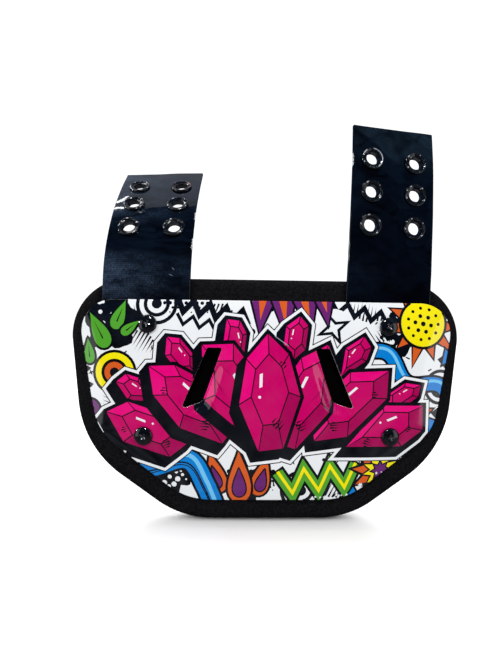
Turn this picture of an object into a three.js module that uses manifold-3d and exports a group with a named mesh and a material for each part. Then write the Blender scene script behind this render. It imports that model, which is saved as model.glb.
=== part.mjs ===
// Tailbone protector: a plastic plate on a foam pad that hangs from two straps with eyelets.
// Millimetres, +Z up, +X to the right of someone who faces the plate.
// The plate faces -Y. The origin is the middle of the pad's flat back, which lies on the wearer.
import * as THREE from 'three';
import { mergeVertices } from 'three/addons/utils/BufferGeometryUtils.js';
import Module from 'manifold-3d';

const wasm = await Module();
wasm.setup();

// Clearance between neighbouring pieces, and overshoot of a cut past the face that it opens
const GAP = 0.3;
const OVERSHOOT = 5;

// Corners of the right half of each outline, from the top down
const PAD_CORNERS = [
  { across: 148.4, up: 89.3, fillet: 42 },
  { across: 135, up: -35.5, fillet: 76 },
  { across: 61.8, up: -86.3, fillet: 68 },
];
const PLATE_CORNERS = [
  { across: 138.5, up: 73, fillet: 23 },
  { across: 122, up: -21.5, fillet: 44 },
  { across: 57.5, up: -69.5, fillet: 55 },
];
const FILLET_STEPS = 7;
const EDGE_STEP = 22;

// Pad: its thickness at the sides, how much it bows forward in the middle, and the half width of that bow
const PAD_RIM = 15;
const PAD_BOW = 6;
const BOW_HALF = 145;
// Rounded edge of the pad, from the back to the front
const PAD_EDGE = [
  { thicknessShare: 0, inset: 3.5 },
  { thicknessShare: 0.08, inset: 1.2 },
  { thicknessShare: 0.25, inset: 0 },
  { thicknessShare: 0.5, inset: 0 },
  { thicknessShare: 0.78, inset: 1.6 },
  { thicknessShare: 0.94, inset: 4 },
  { thicknessShare: 1, inset: 7.5 },
];
const PAD_FRONT_RINGS = 4;

// Plate: thickness, how far its middle stands off the pad, and how far from the rim it reaches that height
const PLATE_THICKNESS = 2.5;
const PLATE_CROWN = 5;
const CROWN_REACH = 36;
const PLATE_ROW_STEP = 8;
const STRIP_COLUMNS = 3;
const WING_COLUMNS = 4;

// Right vent slot, and the strip on its inner side and lower end that is pushed in towards the pad
const SLOT_CORNERS = [
  { across: 33.2, up: 39.2, fillet: 1 },
  { across: 43.6, up: 39.2, fillet: 1 },
  { across: 61.6, up: -3.9, fillet: 1.5 },
  { across: 46.8, up: 0.4, fillet: 6 },
];
const STRIP_WIDTH = 8.5;
const STRIP_DEPTH = 4.2;
const STRIP_FADE = { from: 12, to: 44 };

// Straps: a ribbon that starts behind the plate. Lengths along it count from the plate's top edge.
const STRAP = { width: 63.5, thickness: 2.4, tuck: 36, length: 132, sink: 0.4 };
const STRAP_STEP = 1;
const STRAP_RING_EVERY = 5;
// Each strap's place, sideways lean and twist at its end, with how far it tilts back along its length
const STRAPS = [
  {
    side: 'left',
    across: -88.4,
    leanDegrees: 0.8,
    twistDegrees: -1.6,
    tilts: [
      { along: 0, degrees: 0 },
      { along: 5, degrees: -5 },
      { along: 12, degrees: 0 },
      { along: 28, degrees: 14 },
      { along: 56, degrees: 29 },
      { along: 81, degrees: 41 },
      { along: 106, degrees: 46.5 },
      { along: 132, degrees: 49 },
    ],
  },
  {
    side: 'right',
    across: 87.8,
    leanDegrees: 2.4,
    twistDegrees: 5.2,
    tilts: [
      { along: 0, degrees: 0 },
      { along: 60, degrees: 1.8 },
      { along: 85, degrees: 5 },
      { along: 110, degrees: 8.8 },
      { along: 132, degrees: 11.6 },
    ],
  },
];

// Eyelets: two columns and three rows in each strap
// Radii of hole, barrel and flanges, heights of the flat back flange and of the rolled front one at rim and crest
const EYELET = { hole: 4.75, barrel: 5.4, flange: 8.3, back: 0.7, frontRim: 0.5, frontCrest: 1.1, seatGap: 0.5 };
const EYELET_GRID = { columns: 2, rows: 3, columnPitch: 33.7, rowPitch: 24.8, firstRow: 56 };
const EYELET_SIDES = 14;

// Rivets: places on the right half, the domed head, the shank and the flat disc that ends it in the pad's back
const RIVETS = [
  { level: 'upper', across: 85.9, up: 55.4 },
  { level: 'lower', across: 87.9, up: -23.5 },
];
const RIVET = { head: 6.6, dome: 3.2, rim: 0.8, shank: 2.5, disc: 7.5, discThickness: 1.4, discSink: 0.6 };
const RIVET_SIDES = 16;
const DOME_STEPS = 4;

const FORWARD = new THREE.Vector3(0, -1, 0);
const LATHE_AXIS = new THREE.Vector3(0, 1, 0);
const SIDES = [
  { name: 'left', sign: -1 },
  { name: 'right', sign: 1 },
];

// Meshes and solids
function toSolid(geometry) {
  const bare = geometry.clone();
  bare.deleteAttribute('normal');
  bare.deleteAttribute('uv');
  const merged = mergeVertices(bare, 1e-4);
  const mesh = new wasm.Mesh({
    numProp: 3,
    vertProperties: new Float32Array(merged.attributes.position.array),
    triVerts: new Uint32Array(merged.index.array),
  });
  return new wasm.Manifold(mesh);
}

function toGeometry(solid) {
  const mesh = solid.getMesh();
  const geometry = new THREE.BufferGeometry();
  geometry.setAttribute('position', new THREE.BufferAttribute(mesh.vertProperties, mesh.numProp));
  geometry.setIndex(new THREE.BufferAttribute(mesh.triVerts, 1));
  geometry.computeVertexNormals();
  return geometry;
}

function fromTriangles(points, triangles) {
  const geometry = new THREE.BufferGeometry();
  geometry.setFromPoints(points);
  geometry.setIndex(triangles.flat());
  return toSolid(geometry);
}

// Solid through rings of equal length, each clockwise for someone at the far end who looks back along it
function loft(rings) {
  const count = rings[0].length;
  const points = rings.flat();
  const triangles = [];
  for (let ring = 0; ring + 1 < rings.length; ring += 1) {
    for (let i = 0; i < count; i += 1) {
      const next = (i + 1) % count;
      const here = ring * count;
      const beyond = here + count;
      triangles.push([here + i, beyond + i, here + next]);
      triangles.push([here + next, beyond + i, beyond + next]);
    }
  }
  const last = (rings.length - 1) * count;
  const startCentre = points.push(meanPoint(rings[0])) - 1;
  const endCentre = points.push(meanPoint(rings.at(-1))) - 1;
  for (let i = 0; i < count; i += 1) {
    const next = (i + 1) % count;
    triangles.push([startCentre, i, next]);
    triangles.push([endCentre, last + next, last + i]);
  }
  return fromTriangles(points, triangles);
}

function meanPoint(points) {
  const sum = new THREE.Vector3();
  for (const point of points) {
    sum.add(point);
  }
  return sum.divideScalar(points.length);
}

// Turned solid from a profile of radius and height, its axis laid along the given direction
function turned(profile, sides, origin, axis) {
  const outline = profile.map(([radius, height]) => new THREE.Vector2(radius, height));
  const geometry = new THREE.LatheGeometry(outline, sides);
  geometry.applyQuaternion(new THREE.Quaternion().setFromUnitVectors(LATHE_AXIS, axis));
  geometry.translate(origin.x, origin.y, origin.z);
  return toSolid(geometry);
}

// Turned rod between two heights on its axis
function rod(radius, from, to, sides, origin, axis) {
  return turned([[0, from], [radius, from], [radius, to], [0, to]], sides, origin, axis);
}

// Outlines
function mirrored(corners) {
  const left = corners.map((corner) => ({ ...corner, across: -corner.across }));
  return [...corners, ...left.reverse()];
}

// Closed loop of points with outward normals round convex corners that are rounded by their fillets
function roundedLoop(corners) {
  const arcs = corners.map((corner, i) => {
    const before = corners.at(i - 1);
    const after = corners[(i + 1) % corners.length];
    const at = new THREE.Vector2(corner.across, corner.up);
    const toBefore = new THREE.Vector2(before.across, before.up).sub(at).normalize();
    const toAfter = new THREE.Vector2(after.across, after.up).sub(at).normalize();
    const halfAngle = Math.acos(toBefore.dot(toAfter)) / 2;
    const inward = toBefore.clone().add(toAfter).normalize();
    const centre = at.clone().addScaledVector(inward, corner.fillet / Math.sin(halfAngle));
    const middle = Math.atan2(-inward.y, -inward.x);
    const sweep = Math.PI - 2 * halfAngle;
    const turn = Math.sign(toBefore.cross(toAfter));
    const arc = [];
    for (let k = 0; k <= FILLET_STEPS; k += 1) {
      const angle = middle - turn * sweep * (k / FILLET_STEPS - 0.5);
      const normal = new THREE.Vector2(Math.cos(angle), Math.sin(angle));
      arc.push({ point: centre.clone().addScaledVector(normal, corner.fillet), normal });
    }
    return arc;
  });
  return arcs.flatMap((arc, i) => {
    const from = arc.at(-1);
    const to = arcs[(i + 1) % arcs.length][0];
    const pieces = Math.ceil(from.point.distanceTo(to.point) / EDGE_STEP);
    const edge = [];
    for (let k = 1; k < pieces; k += 1) {
      edge.push({ point: from.point.clone().lerp(to.point, k / pieces), normal: from.normal });
    }
    return [...arc, ...edge];
  });
}

// Straight cut through the part along Y with the outline of a loop
function cutter(loop) {
  const depth = PAD_RIM + PAD_BOW + PLATE_CROWN + PLATE_THICKNESS + OVERSHOOT;
  const ringAt = (y) => loop.map(({ point }) => new THREE.Vector3(point.x, y, point.y));
  return loft([ringAt(OVERSHOOT), ringAt(-depth)]);
}

// Surfaces, as distances in front of the pad's back
function smooth(value, from, to) {
  return THREE.MathUtils.smoothstep(value, from, to);
}

function padFront(x) {
  return PAD_RIM + PAD_BOW * (1 - (x / BOW_HALF) ** 2);
}

const PLATE_EDGES = mirrored(PLATE_CORNERS).map((corner, i, corners) => {
  const after = corners[(i + 1) % corners.length];
  const along = new THREE.Vector2(after.across - corner.across, after.up - corner.up).normalize();
  return { x: corner.across, z: corner.up, inward: new THREE.Vector2(along.y, -along.x) };
});

// Crown of the plate: next to nothing at its straight edges, full height well inside them
function plateCrown(x, z) {
  let sum = 0;
  for (const edge of PLATE_EDGES) {
    const distance = (x - edge.x) * edge.inward.x + (z - edge.z) * edge.inward.y;
    sum += Math.max(distance, GAP) ** -2;
  }
  const share = Math.min(sum ** -0.5 / CROWN_REACH, 1);
  return PLATE_CROWN * (1 - (1 - share) ** 2);
}

const SLOT = {
  innerTop: new THREE.Vector2(SLOT_CORNERS[0].across, SLOT_CORNERS[0].up),
  innerEnd: new THREE.Vector2(SLOT_CORNERS[3].across, SLOT_CORNERS[3].up),
  outerEnd: new THREE.Vector2(SLOT_CORNERS[2].across, SLOT_CORNERS[2].up),
  width: SLOT_CORNERS[1].across - SLOT_CORNERS[0].across,
};
SLOT.slant = (SLOT.innerEnd.x - SLOT.innerTop.x) / (SLOT.innerTop.y - SLOT.innerEnd.y);

function slotLine(z) {
  return SLOT.innerTop.x + SLOT.slant * (SLOT.innerTop.y - z);
}

function distanceToSegment(point, from, to) {
  const span = to.clone().sub(from);
  const share = THREE.MathUtils.clamp(point.clone().sub(from).dot(span) / span.lengthSq(), 0, 1);
  return point.distanceTo(from.clone().addScaledVector(span, share));
}

// How far the plate is pushed in beside the slots
function stripDepth(x, z) {
  const point = new THREE.Vector2(Math.abs(x), z);
  const toInner = distanceToSegment(point, SLOT.innerTop, SLOT.innerEnd);
  const toEnd = distanceToSegment(point, SLOT.innerEnd, SLOT.outerEnd);
  const near = 1 - smooth(Math.min(toInner, toEnd), 0, STRIP_WIDTH);
  const innerSide = 1 - smooth(point.x - slotLine(z), 0, SLOT.width);
  const belowTop = 1 - smooth(z, STRIP_FADE.from, STRIP_FADE.to);
  return STRIP_DEPTH * near * innerSide * belowTop;
}

function plateFront(x, z) {
  return padFront(x) + GAP + PLATE_THICKNESS + plateCrown(x, z) - stripDepth(x, z);
}

function plateNormal(x, z) {
  const reach = 2;
  const slopeX = (plateFront(x + reach, z) - plateFront(x - reach, z)) / (2 * reach);
  const slopeZ = (plateFront(x, z + reach) - plateFront(x, z - reach)) / (2 * reach);
  return new THREE.Vector3(-slopeX, -1, -slopeZ).normalize();
}

// Pad
function padSolid() {
  const loop = roundedLoop(mirrored(PAD_CORNERS));
  const rings = PAD_EDGE.map(({ thicknessShare, inset }) => loop.map(({ point, normal }) => {
    const { x, y: z } = point.clone().addScaledVector(normal, -inset);
    return new THREE.Vector3(x, -thicknessShare * padFront(x), z);
  }));
  const frontRing = rings.at(-1);
  for (let k = 1; k < PAD_FRONT_RINGS; k += 1) {
    const share = 1 - k / PAD_FRONT_RINGS;
    rings.push(frontRing.map((point) => {
      const x = point.x * share;
      return new THREE.Vector3(x, -padFront(x), point.z * share);
    }));
  }
  return loft(rings);
}

// Plate: a sheet on columns that run beside the slots, cut to its outline
function plateColumns(z) {
  const crease = slotLine(z) - STRIP_WIDTH;
  const outer = slotLine(z) + SLOT.width;
  const columns = [crease / 2];
  for (let k = 0; k <= STRIP_COLUMNS; k += 1) {
    columns.push(crease + STRIP_WIDTH * (k / STRIP_COLUMNS));
  }
  for (let k = 0; k <= WING_COLUMNS; k += 1) {
    columns.push(outer + (BOW_HALF - outer) * (k / WING_COLUMNS));
  }
  return [...columns.map((x) => -x).reverse(), 0, ...columns];
}

function plateSheet() {
  const top = PLATE_CORNERS[0].up + GAP;
  const bottom = PLATE_CORNERS[2].up - GAP;
  const rows = Math.ceil((top - bottom) / PLATE_ROW_STEP);
  const front = [];
  for (let row = 0; row <= rows; row += 1) {
    const z = bottom + (top - bottom) * (row / rows);
    for (const x of plateColumns(z)) {
      front.push(new THREE.Vector3(x, -plateFront(x, z), z));
    }
  }
  const back = front.map((point) => point.clone().addScaledVector(FORWARD, -PLATE_THICKNESS));
  const width = front.length / (rows + 1);
  const behind = front.length;
  const triangles = [];
  for (let row = 0; row < rows; row += 1) {
    for (let column = 0; column + 1 < width; column += 1) {
      const a = row * width + column;
      const b = a + 1;
      const c = b + width;
      const d = a + width;
      triangles.push([a, b, c], [a, c, d]);
      triangles.push([behind + a, behind + c, behind + b], [behind + a, behind + d, behind + c]);
    }
  }
  for (const [from, to] of sheetBorder(rows, width)) {
    triangles.push([from, behind + from, to], [to, behind + from, behind + to]);
  }
  return fromTriangles([...front, ...back], triangles);
}

// Edges round a sheet of points, anticlockwise for someone in front of it
function sheetBorder(rows, width) {
  const edges = [];
  for (let column = 0; column + 1 < width; column += 1) {
    edges.push([column, column + 1]);
    edges.push([rows * width + column + 1, rows * width + column]);
  }
  for (let row = 0; row < rows; row += 1) {
    edges.push([row * width + width - 1, (row + 1) * width + width - 1]);
    edges.push([(row + 1) * width, row * width]);
  }
  return edges;
}

function slotCutter(sign) {
  const corners = SLOT_CORNERS.map((corner) => ({ ...corner, across: corner.across * sign }));
  return cutter(roundedLoop(sign > 0 ? corners : corners.reverse()));
}

// Straps
function tiltAt(strap, along) {
  const rows = strap.tilts;
  const after = rows.findIndex((row) => row.along >= along);
  if (after <= 0) {
    return THREE.MathUtils.degToRad(rows.at(after).degrees);
  }
  const from = rows[after - 1];
  const to = rows[after];
  const share = (along - from.along) / (to.along - from.along);
  return THREE.MathUtils.degToRad(THREE.MathUtils.lerp(from.degrees, to.degrees, share));
}

// Frames along a strap's middle, from its tucked end to its free end
function strapFrames(strap) {
  const yaw = Math.atan(2 * PAD_BOW * strap.across / BOW_HALF ** 2);
  const lean = THREE.MathUtils.degToRad(strap.leanDegrees);
  const level = new THREE.Vector3(Math.cos(yaw), Math.sin(yaw), 0);
  const back = new THREE.Vector3(-Math.sin(yaw), Math.cos(yaw), 0);
  const rise = new THREE.Vector3(0, 0, 1);
  const up = rise.clone().multiplyScalar(Math.cos(lean)).addScaledVector(level, Math.sin(lean));
  const level0 = level.clone().multiplyScalar(Math.cos(lean)).addScaledVector(rise, -Math.sin(lean));
  const depth = padFront(strap.across) - STRAP.sink - STRAP.thickness / 2;
  const edge = new THREE.Vector3(strap.across, -depth, PLATE_CORNERS[0].up);
  const steps = Math.round((STRAP.length + STRAP.tuck) / STRAP_STEP);
  const middle = edge.clone().addScaledVector(up, -STRAP.tuck);
  const frames = [];
  for (let step = 0; step <= steps; step += 1) {
    const along = step * STRAP_STEP - STRAP.tuck;
    const tilt = tiltAt(strap, along);
    const twist = THREE.MathUtils.degToRad(strap.twistDegrees) * Math.max(along, 0) / STRAP.length;
    const tangent = up.clone().multiplyScalar(Math.cos(tilt)).addScaledVector(back, Math.sin(tilt));
    const behind = back.clone().multiplyScalar(Math.cos(tilt)).addScaledVector(up, -Math.sin(tilt));
    const across = level0.clone().multiplyScalar(Math.cos(twist)).addScaledVector(behind, Math.sin(twist));
    const front = tangent.clone().cross(across).negate();
    frames.push({ along, middle: middle.clone(), across, tangent, front });
    middle.addScaledVector(tangent, STRAP_STEP);
  }
  return frames;
}

function frameAt(frames, along) {
  return frames[Math.round((along + STRAP.tuck) / STRAP_STEP)];
}

// Rectangle across a strap's frame, clockwise for someone at its free end
function ribbonRing(frame, width, inFront, behind) {
  const corner = (across, front) => frame.middle.clone()
    .addScaledVector(frame.across, across)
    .addScaledVector(frame.front, front);
  const half = width / 2;
  return [corner(-half, -behind), corner(half, -behind), corner(half, inFront), corner(-half, inFront)];
}

function strapSolid(frames) {
  const half = STRAP.thickness / 2;
  const kept = frames.filter((frame, i) => i % STRAP_RING_EVERY === 0);
  if (kept.at(-1) !== frames.at(-1)) {
    kept.push(frames.at(-1));
  }
  return loft(kept.map((frame) => ribbonRing(frame, STRAP.width, half, half)));
}

// Straight bed in the pad's front, where the strap presses into the foam
function strapBed(frames) {
  const half = STRAP.thickness / 2;
  const start = frames[0];
  const depth = half + GAP;
  const low = { ...start, middle: start.middle.clone().addScaledVector(start.tangent, -GAP) };
  const high = { ...start, middle: start.middle.clone().addScaledVector(start.tangent, 2 * STRAP.tuck) };
  const rings = [low, high].map((frame) => ribbonRing(frame, STRAP.width + 2 * GAP, PAD_BOW, depth));
  return loft(rings);
}

// Eyelets
function eyeletPlaces(frames) {
  const places = [];
  for (let row = 0; row < EYELET_GRID.rows; row += 1) {
    const frame = frameAt(frames, EYELET_GRID.firstRow + row * EYELET_GRID.rowPitch);
    for (let column = 0; column < EYELET_GRID.columns; column += 1) {
      const across = (column - (EYELET_GRID.columns - 1) / 2) * EYELET_GRID.columnPitch;
      const middle = frame.middle.clone().addScaledVector(frame.across, across);
      places.push({ middle, front: frame.front });
    }
  }
  return places;
}

function eyeletSolid(place) {
  const seat = STRAP.thickness / 2 + EYELET.seatGap;
  const back = -seat - EYELET.back;
  const rim = seat + EYELET.frontRim;
  const crest = (EYELET.hole + EYELET.flange) / 2;
  const profile = [
    [EYELET.hole, back],
    [EYELET.flange, back],
    [EYELET.flange, -seat],
    [EYELET.barrel, -seat],
    [EYELET.barrel, seat],
    [EYELET.flange, seat],
    [EYELET.flange, rim],
    [crest, seat + EYELET.frontCrest],
    [EYELET.hole, rim],
    [EYELET.hole, back],
  ];
  return turned(profile, EYELET_SIDES, place.middle, place.front);
}

function eyeletCutter(place) {
  const reach = STRAP.thickness;
  return rod(EYELET.barrel + GAP, -reach, reach, EYELET_SIDES, place.middle, place.front);
}

// Rivets
function rivetPlace(rivet, sign) {
  const x = rivet.across * sign;
  const seat = new THREE.Vector3(x, -plateFront(x, rivet.up), rivet.up);
  return { seat, axis: plateNormal(x, rivet.up), back: new THREE.Vector3(x, 0, rivet.up) };
}

function rivetSolid(place) {
  const dome = [[0, GAP], [RIVET.head, GAP], [RIVET.head, GAP + RIVET.rim]];
  for (let step = 1; step <= DOME_STEPS; step += 1) {
    const angle = (Math.PI / 2) * (step / DOME_STEPS);
    const height = GAP + RIVET.rim + (RIVET.dome - RIVET.rim) * Math.sin(angle);
    dome.push([step < DOME_STEPS ? RIVET.head * Math.cos(angle) : 0, height]);
  }
  const shankEnd = -place.seat.y + RIVET.rim;
  const discTop = RIVET.discSink + RIVET.discThickness;
  const head = turned(dome, RIVET_SIDES, place.seat, place.axis);
  const shank = rod(RIVET.shank, RIVET.discSink, shankEnd, RIVET_SIDES, place.back, FORWARD);
  const disc = rod(RIVET.disc, RIVET.discSink, discTop, RIVET_SIDES, place.back, FORWARD);
  return head.add(shank).add(disc);
}

function rivetCutter(place) {
  const reach = -place.seat.y + OVERSHOOT;
  return rod(RIVET.shank + GAP, -OVERSHOOT, reach, RIVET_SIDES, place.back, FORWARD);
}

function discCutter(place) {
  const reach = RIVET.discSink + RIVET.discThickness + GAP;
  return rod(RIVET.disc + GAP, -OVERSHOOT, reach, RIVET_SIDES, place.back, FORWARD);
}

// Finishes
const FINISHES = {
  foam: { color: 0x0b0b0d, roughness: 0.9, metalness: 0 },
  shell: { color: 0xc5005f, roughness: 0.12, metalness: 0 },
  strap: { color: 0x0a0d16, roughness: 0.15, metalness: 0 },
  metal: { color: 0x08080a, roughness: 0.2, metalness: 0.4 },
};

function named(name, solid, finish) {
  const mesh = new THREE.Mesh(toGeometry(solid), new THREE.MeshStandardMaterial(FINISHES[finish]));
  mesh.name = name;
  return mesh;
}

// Assembly
const part = new THREE.Group();
part.name = 'tailbone_protector';

let pad = padSolid();
let plate = plateSheet().intersect(cutter(roundedLoop(mirrored(PLATE_CORNERS))));
const rivetCuts = [];

for (const { name, sign } of SIDES) {
  plate = plate.subtract(slotCutter(sign));
  for (const rivet of RIVETS) {
    const place = rivetPlace(rivet, sign);
    const cut = rivetCutter(place);
    rivetCuts.push(cut);
    pad = pad.subtract(cut).subtract(discCutter(place));
    plate = plate.subtract(cut);
    part.add(named(`rivet_${rivet.level}_${name}`, rivetSolid(place), 'metal'));
  }
}

for (const strap of STRAPS) {
  const frames = strapFrames(strap);
  let solid = strapSolid(frames);
  pad = pad.subtract(strapBed(frames));
  for (const cut of rivetCuts) {
    solid = solid.subtract(cut);
  }
  eyeletPlaces(frames).forEach((place, i) => {
    solid = solid.subtract(eyeletCutter(place));
    part.add(named(`eyelet_${strap.side}_${i + 1}`, eyeletSolid(place), 'metal'));
  });
  part.add(named(`strap_${strap.side}`, solid, 'strap'));
}

part.add(named('foam_pad', pad, 'foam'));
part.add(named('shell_plate', plate, 'shell'));

export default part;
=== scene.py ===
# Tailbone protector: the looks of a foam pad, a printed plate, two coated straps, eyelets and rivets.
# Shapes are worked out in millimetres in the part's frame: +X to the right, +Z up, and the plate faces -Y.
import math
import random

import bpy
import numpy as np
from mathutils import Matrix, Vector
from mathutils.geometry import convex_hull_2d, delaunay_2d_cdt


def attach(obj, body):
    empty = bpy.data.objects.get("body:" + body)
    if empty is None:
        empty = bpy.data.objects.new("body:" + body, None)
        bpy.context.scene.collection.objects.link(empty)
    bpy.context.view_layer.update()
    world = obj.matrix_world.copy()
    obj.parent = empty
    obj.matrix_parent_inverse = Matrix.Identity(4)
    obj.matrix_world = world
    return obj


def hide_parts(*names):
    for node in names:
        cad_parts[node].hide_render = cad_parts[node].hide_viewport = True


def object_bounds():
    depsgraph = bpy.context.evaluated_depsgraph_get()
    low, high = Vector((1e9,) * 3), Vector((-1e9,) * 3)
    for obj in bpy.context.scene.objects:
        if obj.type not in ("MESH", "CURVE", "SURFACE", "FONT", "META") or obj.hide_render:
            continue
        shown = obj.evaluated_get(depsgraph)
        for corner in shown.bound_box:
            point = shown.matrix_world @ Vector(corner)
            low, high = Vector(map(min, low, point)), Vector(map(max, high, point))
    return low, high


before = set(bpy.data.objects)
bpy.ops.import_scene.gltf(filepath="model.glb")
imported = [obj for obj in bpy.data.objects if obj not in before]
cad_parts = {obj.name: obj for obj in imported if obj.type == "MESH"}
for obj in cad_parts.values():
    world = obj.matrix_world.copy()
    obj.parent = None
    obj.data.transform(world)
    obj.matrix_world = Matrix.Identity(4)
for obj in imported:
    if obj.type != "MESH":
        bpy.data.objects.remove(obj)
CAD_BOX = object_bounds()

MILLIMETRE = 0.001
SIDES = {"left": -1, "right": 1}

# Clearance between neighbouring pieces
GAP = 0.3

# Outlines: corners of the right half from the top down, as across, up and fillet
PAD_CORNERS = [(148.4, 89.3, 42), (135, -35.5, 76), (61.8, -86.3, 68)]
PLATE_CORNERS = [(138.5, 73, 23), (122, -21.5, 44), (57.5, -69.5, 55)]
PLATE_TOP = PLATE_CORNERS[0][1]
# Right slot: inner top, outer top, outer end and inner end
SLOT_CORNERS = [(33.2, 39.2, 1), (43.6, 39.2, 1), (61.6, -3.9, 1.5), (46.8, 0.4, 6)]

# Pad: thickness at the sides, bow of the front, and the rounded edge as inset and share of the thickness
PAD_RIM = 15
PAD_BOW = 6
BOW_HALF = 145
PAD_EDGE = [
    (7.5, 1.0), (5.6, 0.975), (4.0, 0.94), (2.7, 0.87), (1.6, 0.78), (0.7, 0.66), (0.1, 0.5),
    (0.0, 0.36), (0.1, 0.25), (0.5, 0.15), (1.2, 0.08), (2.2, 0.03), (3.5, 0.0),
]

# Plate: thickness, stand-off of the middle, and the strip beside each slot that is pushed in
PLATE_THICKNESS = 2.5
PLATE_CROWN = 5
CROWN_REACH = 36
STRIP_WIDTH = 8.5
STRIP_DEPTH = 4.2
STRIP_FADE = (12, 44)

# Straps, with tilts as length along the strap and degrees backward
STRAP_WIDTH = 63.5
STRAP_THICKNESS = 2.4
STRAP_TUCK = 36
STRAP_LENGTH = 132
STRAP_SINK = 0.4
LEFT_TILTS = [(0, 0), (5, -5), (12, 0), (28, 14), (56, 29), (81, 41), (106, 46.5), (132, 49)]
RIGHT_TILTS = [(0, 0), (60, 1.8), (85, 5), (110, 8.8), (132, 11.6)]

# Strap surface: waves as height, turn across and along and share of the phase, then calm and puckered zones
STRAP_WAVES = [(0.14, 0.11, 0.07, 1), (0.07, 0.21, -0.16, 2), (0.02, 0.31, 0.43, 0)]
CALM_LENGTH = 25
CALM_ROUND = (7, 16)
PUCKER_DEPTH = 0.02
PUCKER_RADIUS = 10
PUCKER_WIDTH = 2.2

# Eyelets
EYELET_HOLE = 4.75
EYELET_BARREL = 5.4
EYELET_FLANGE = 8.3
EYELET_SEAT = STRAP_THICKNESS / 2 + 0.5
EYELET_BACK = 0.7
EYELET_CREST = 1.1
EYELET_ROWS = 3
COLUMN_PITCH = 33.7
ROW_PITCH = 24.8
FIRST_ROW = 56

# Rivets: level, across and up of those on the right half
RIVETS = [("upper", 85.9, 55.4), ("lower", 87.9, -23.5)]
RIVET_HEAD = 6.6
RIVET_DOME = 3.2
RIVET_RIM = 0.8
RIVET_SHANK = 2.5
RIVET_DISC = 7.5
DISC_THICKNESS = 1.4
DISC_SINK = 0.6


# Outlines and surfaces
def smooth(value, low, high):
    share = np.clip((value - low) / (high - low), 0, 1)
    return share * share * (3 - 2 * share)


def unit(vector):
    return vector / np.linalg.norm(vector)


def angles_round(sides):
    return np.arange(sides) * 2 * math.pi / sides


def directions(angles):
    return np.column_stack((np.cos(angles), np.sin(angles)))


def mirrored(corners):
    """Whole outline from its right half, anticlockwise for someone in front."""
    left = [(-across, up, fillet) for across, up, fillet in corners]
    return left + corners[::-1]

# Painted shade under the plate: how strongly each front point is darkened, from the rise of the plate's
# crown over it

def rounded_loop(corners, step):
    """Points and outward normals round a convex outline that runs anticlockwise."""
    arcs = []
    for i, (across, up, fillet) in enumerate(corners):
        at = np.array((across, up))
        to_before = unit(np.array(corners[i - 1][:2]) - at)
        to_after = unit(np.array(corners[(i + 1) % len(corners)][:2]) - at)
        half = math.acos(np.clip(to_before @ to_after, -1, 1)) / 2
        inward = unit(to_before + to_after)
        centre = at + inward * fillet / math.sin(half)
        middle = math.atan2(-inward[1], -inward[0])
        sweep = math.pi - 2 * half
        count = max(4, math.ceil(sweep * fillet / step))
        normals = directions(middle + sweep * (np.arange(count + 1) / count - 0.5))
        arcs.append((centre + normals * fillet, normals))
    points = []
    normals = []
    for i, (arc, arc_normals) in enumerate(arcs):
        start = arc[-1]
        end = arcs[(i + 1) % len(arcs)][0][0]
        count = max(1, math.ceil(np.linalg.norm(end - start) / step))
        shares = np.arange(1, count)[:, None] / count
        points += [arc, start + (end - start) * shares]
        normals += [arc_normals, np.repeat(arc_normals[-1:], count - 1, axis=0)]
    return np.vstack(points), np.vstack(normals)


def ring_loop(x, z, radius, sides):
    """Points and outward normals of a circle, anticlockwise."""
    normals = directions(angles_round(sides))
    return np.array((x, z)) + normals * radius, normals


def rivet_centres():
    """Places of the rivets, those on the left half first."""
    return [(way * across, up) for way in SIDES.values() for _, across, up in RIVETS]


def pad_front(x):
    return PAD_RIM + PAD_BOW * (1 - (x / BOW_HALF) ** 2)


def plate_crown(x, z):
    """How far the plate stands off the pad, from nothing at its outline."""
    corners = mirrored(PLATE_CORNERS)
    total = 0
    for i, (across, up, _) in enumerate(corners):
        along = unit(np.array(corners[(i + 1) % len(corners)][:2]) - (across, up))
        distance = (z - up) * along[0] - (x - across) * along[1]
        total = total + np.maximum(distance, GAP) ** -2.0
    share = np.minimum(total ** -0.5 / CROWN_REACH, 1)
    return PLATE_CROWN * (1 - (1 - share) ** 2)


def segment_distance(x, z, start, end):
    span_x = end[0] - start[0]
    span_z = end[1] - start[1]
    share = ((x - start[0]) * span_x + (z - start[1]) * span_z) / (span_x ** 2 + span_z ** 2)
    share = np.clip(share, 0, 1)
    return np.hypot(x - start[0] - share * span_x, z - start[1] - share * span_z)


def strip_depth(x, z):
    """How far the plate is pushed in beside the slots."""
    inner_top, outer_top, outer_end, inner_end = SLOT_CORNERS
    side = np.abs(x)
    slant = (inner_end[0] - inner_top[0]) / (inner_top[1] - inner_end[1])
    slot_line = inner_top[0] + slant * (inner_top[1] - z)
    to_inner = segment_distance(side, z, inner_top, inner_end)
    to_end = segment_distance(side, z, inner_end, outer_end)
    near = 1 - smooth(np.minimum(to_inner, to_end), 0, STRIP_WIDTH)
    inner_side = 1 - smooth(side - slot_line, 0, outer_top[0] - inner_top[0])
    below_top = 1 - smooth(z, *STRIP_FADE)
    return STRIP_DEPTH * near * inner_side * below_top


def plate_front(x, z):
    return pad_front(x) + GAP + PLATE_THICKNESS + plate_crown(x, z) - strip_depth(x, z)


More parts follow.
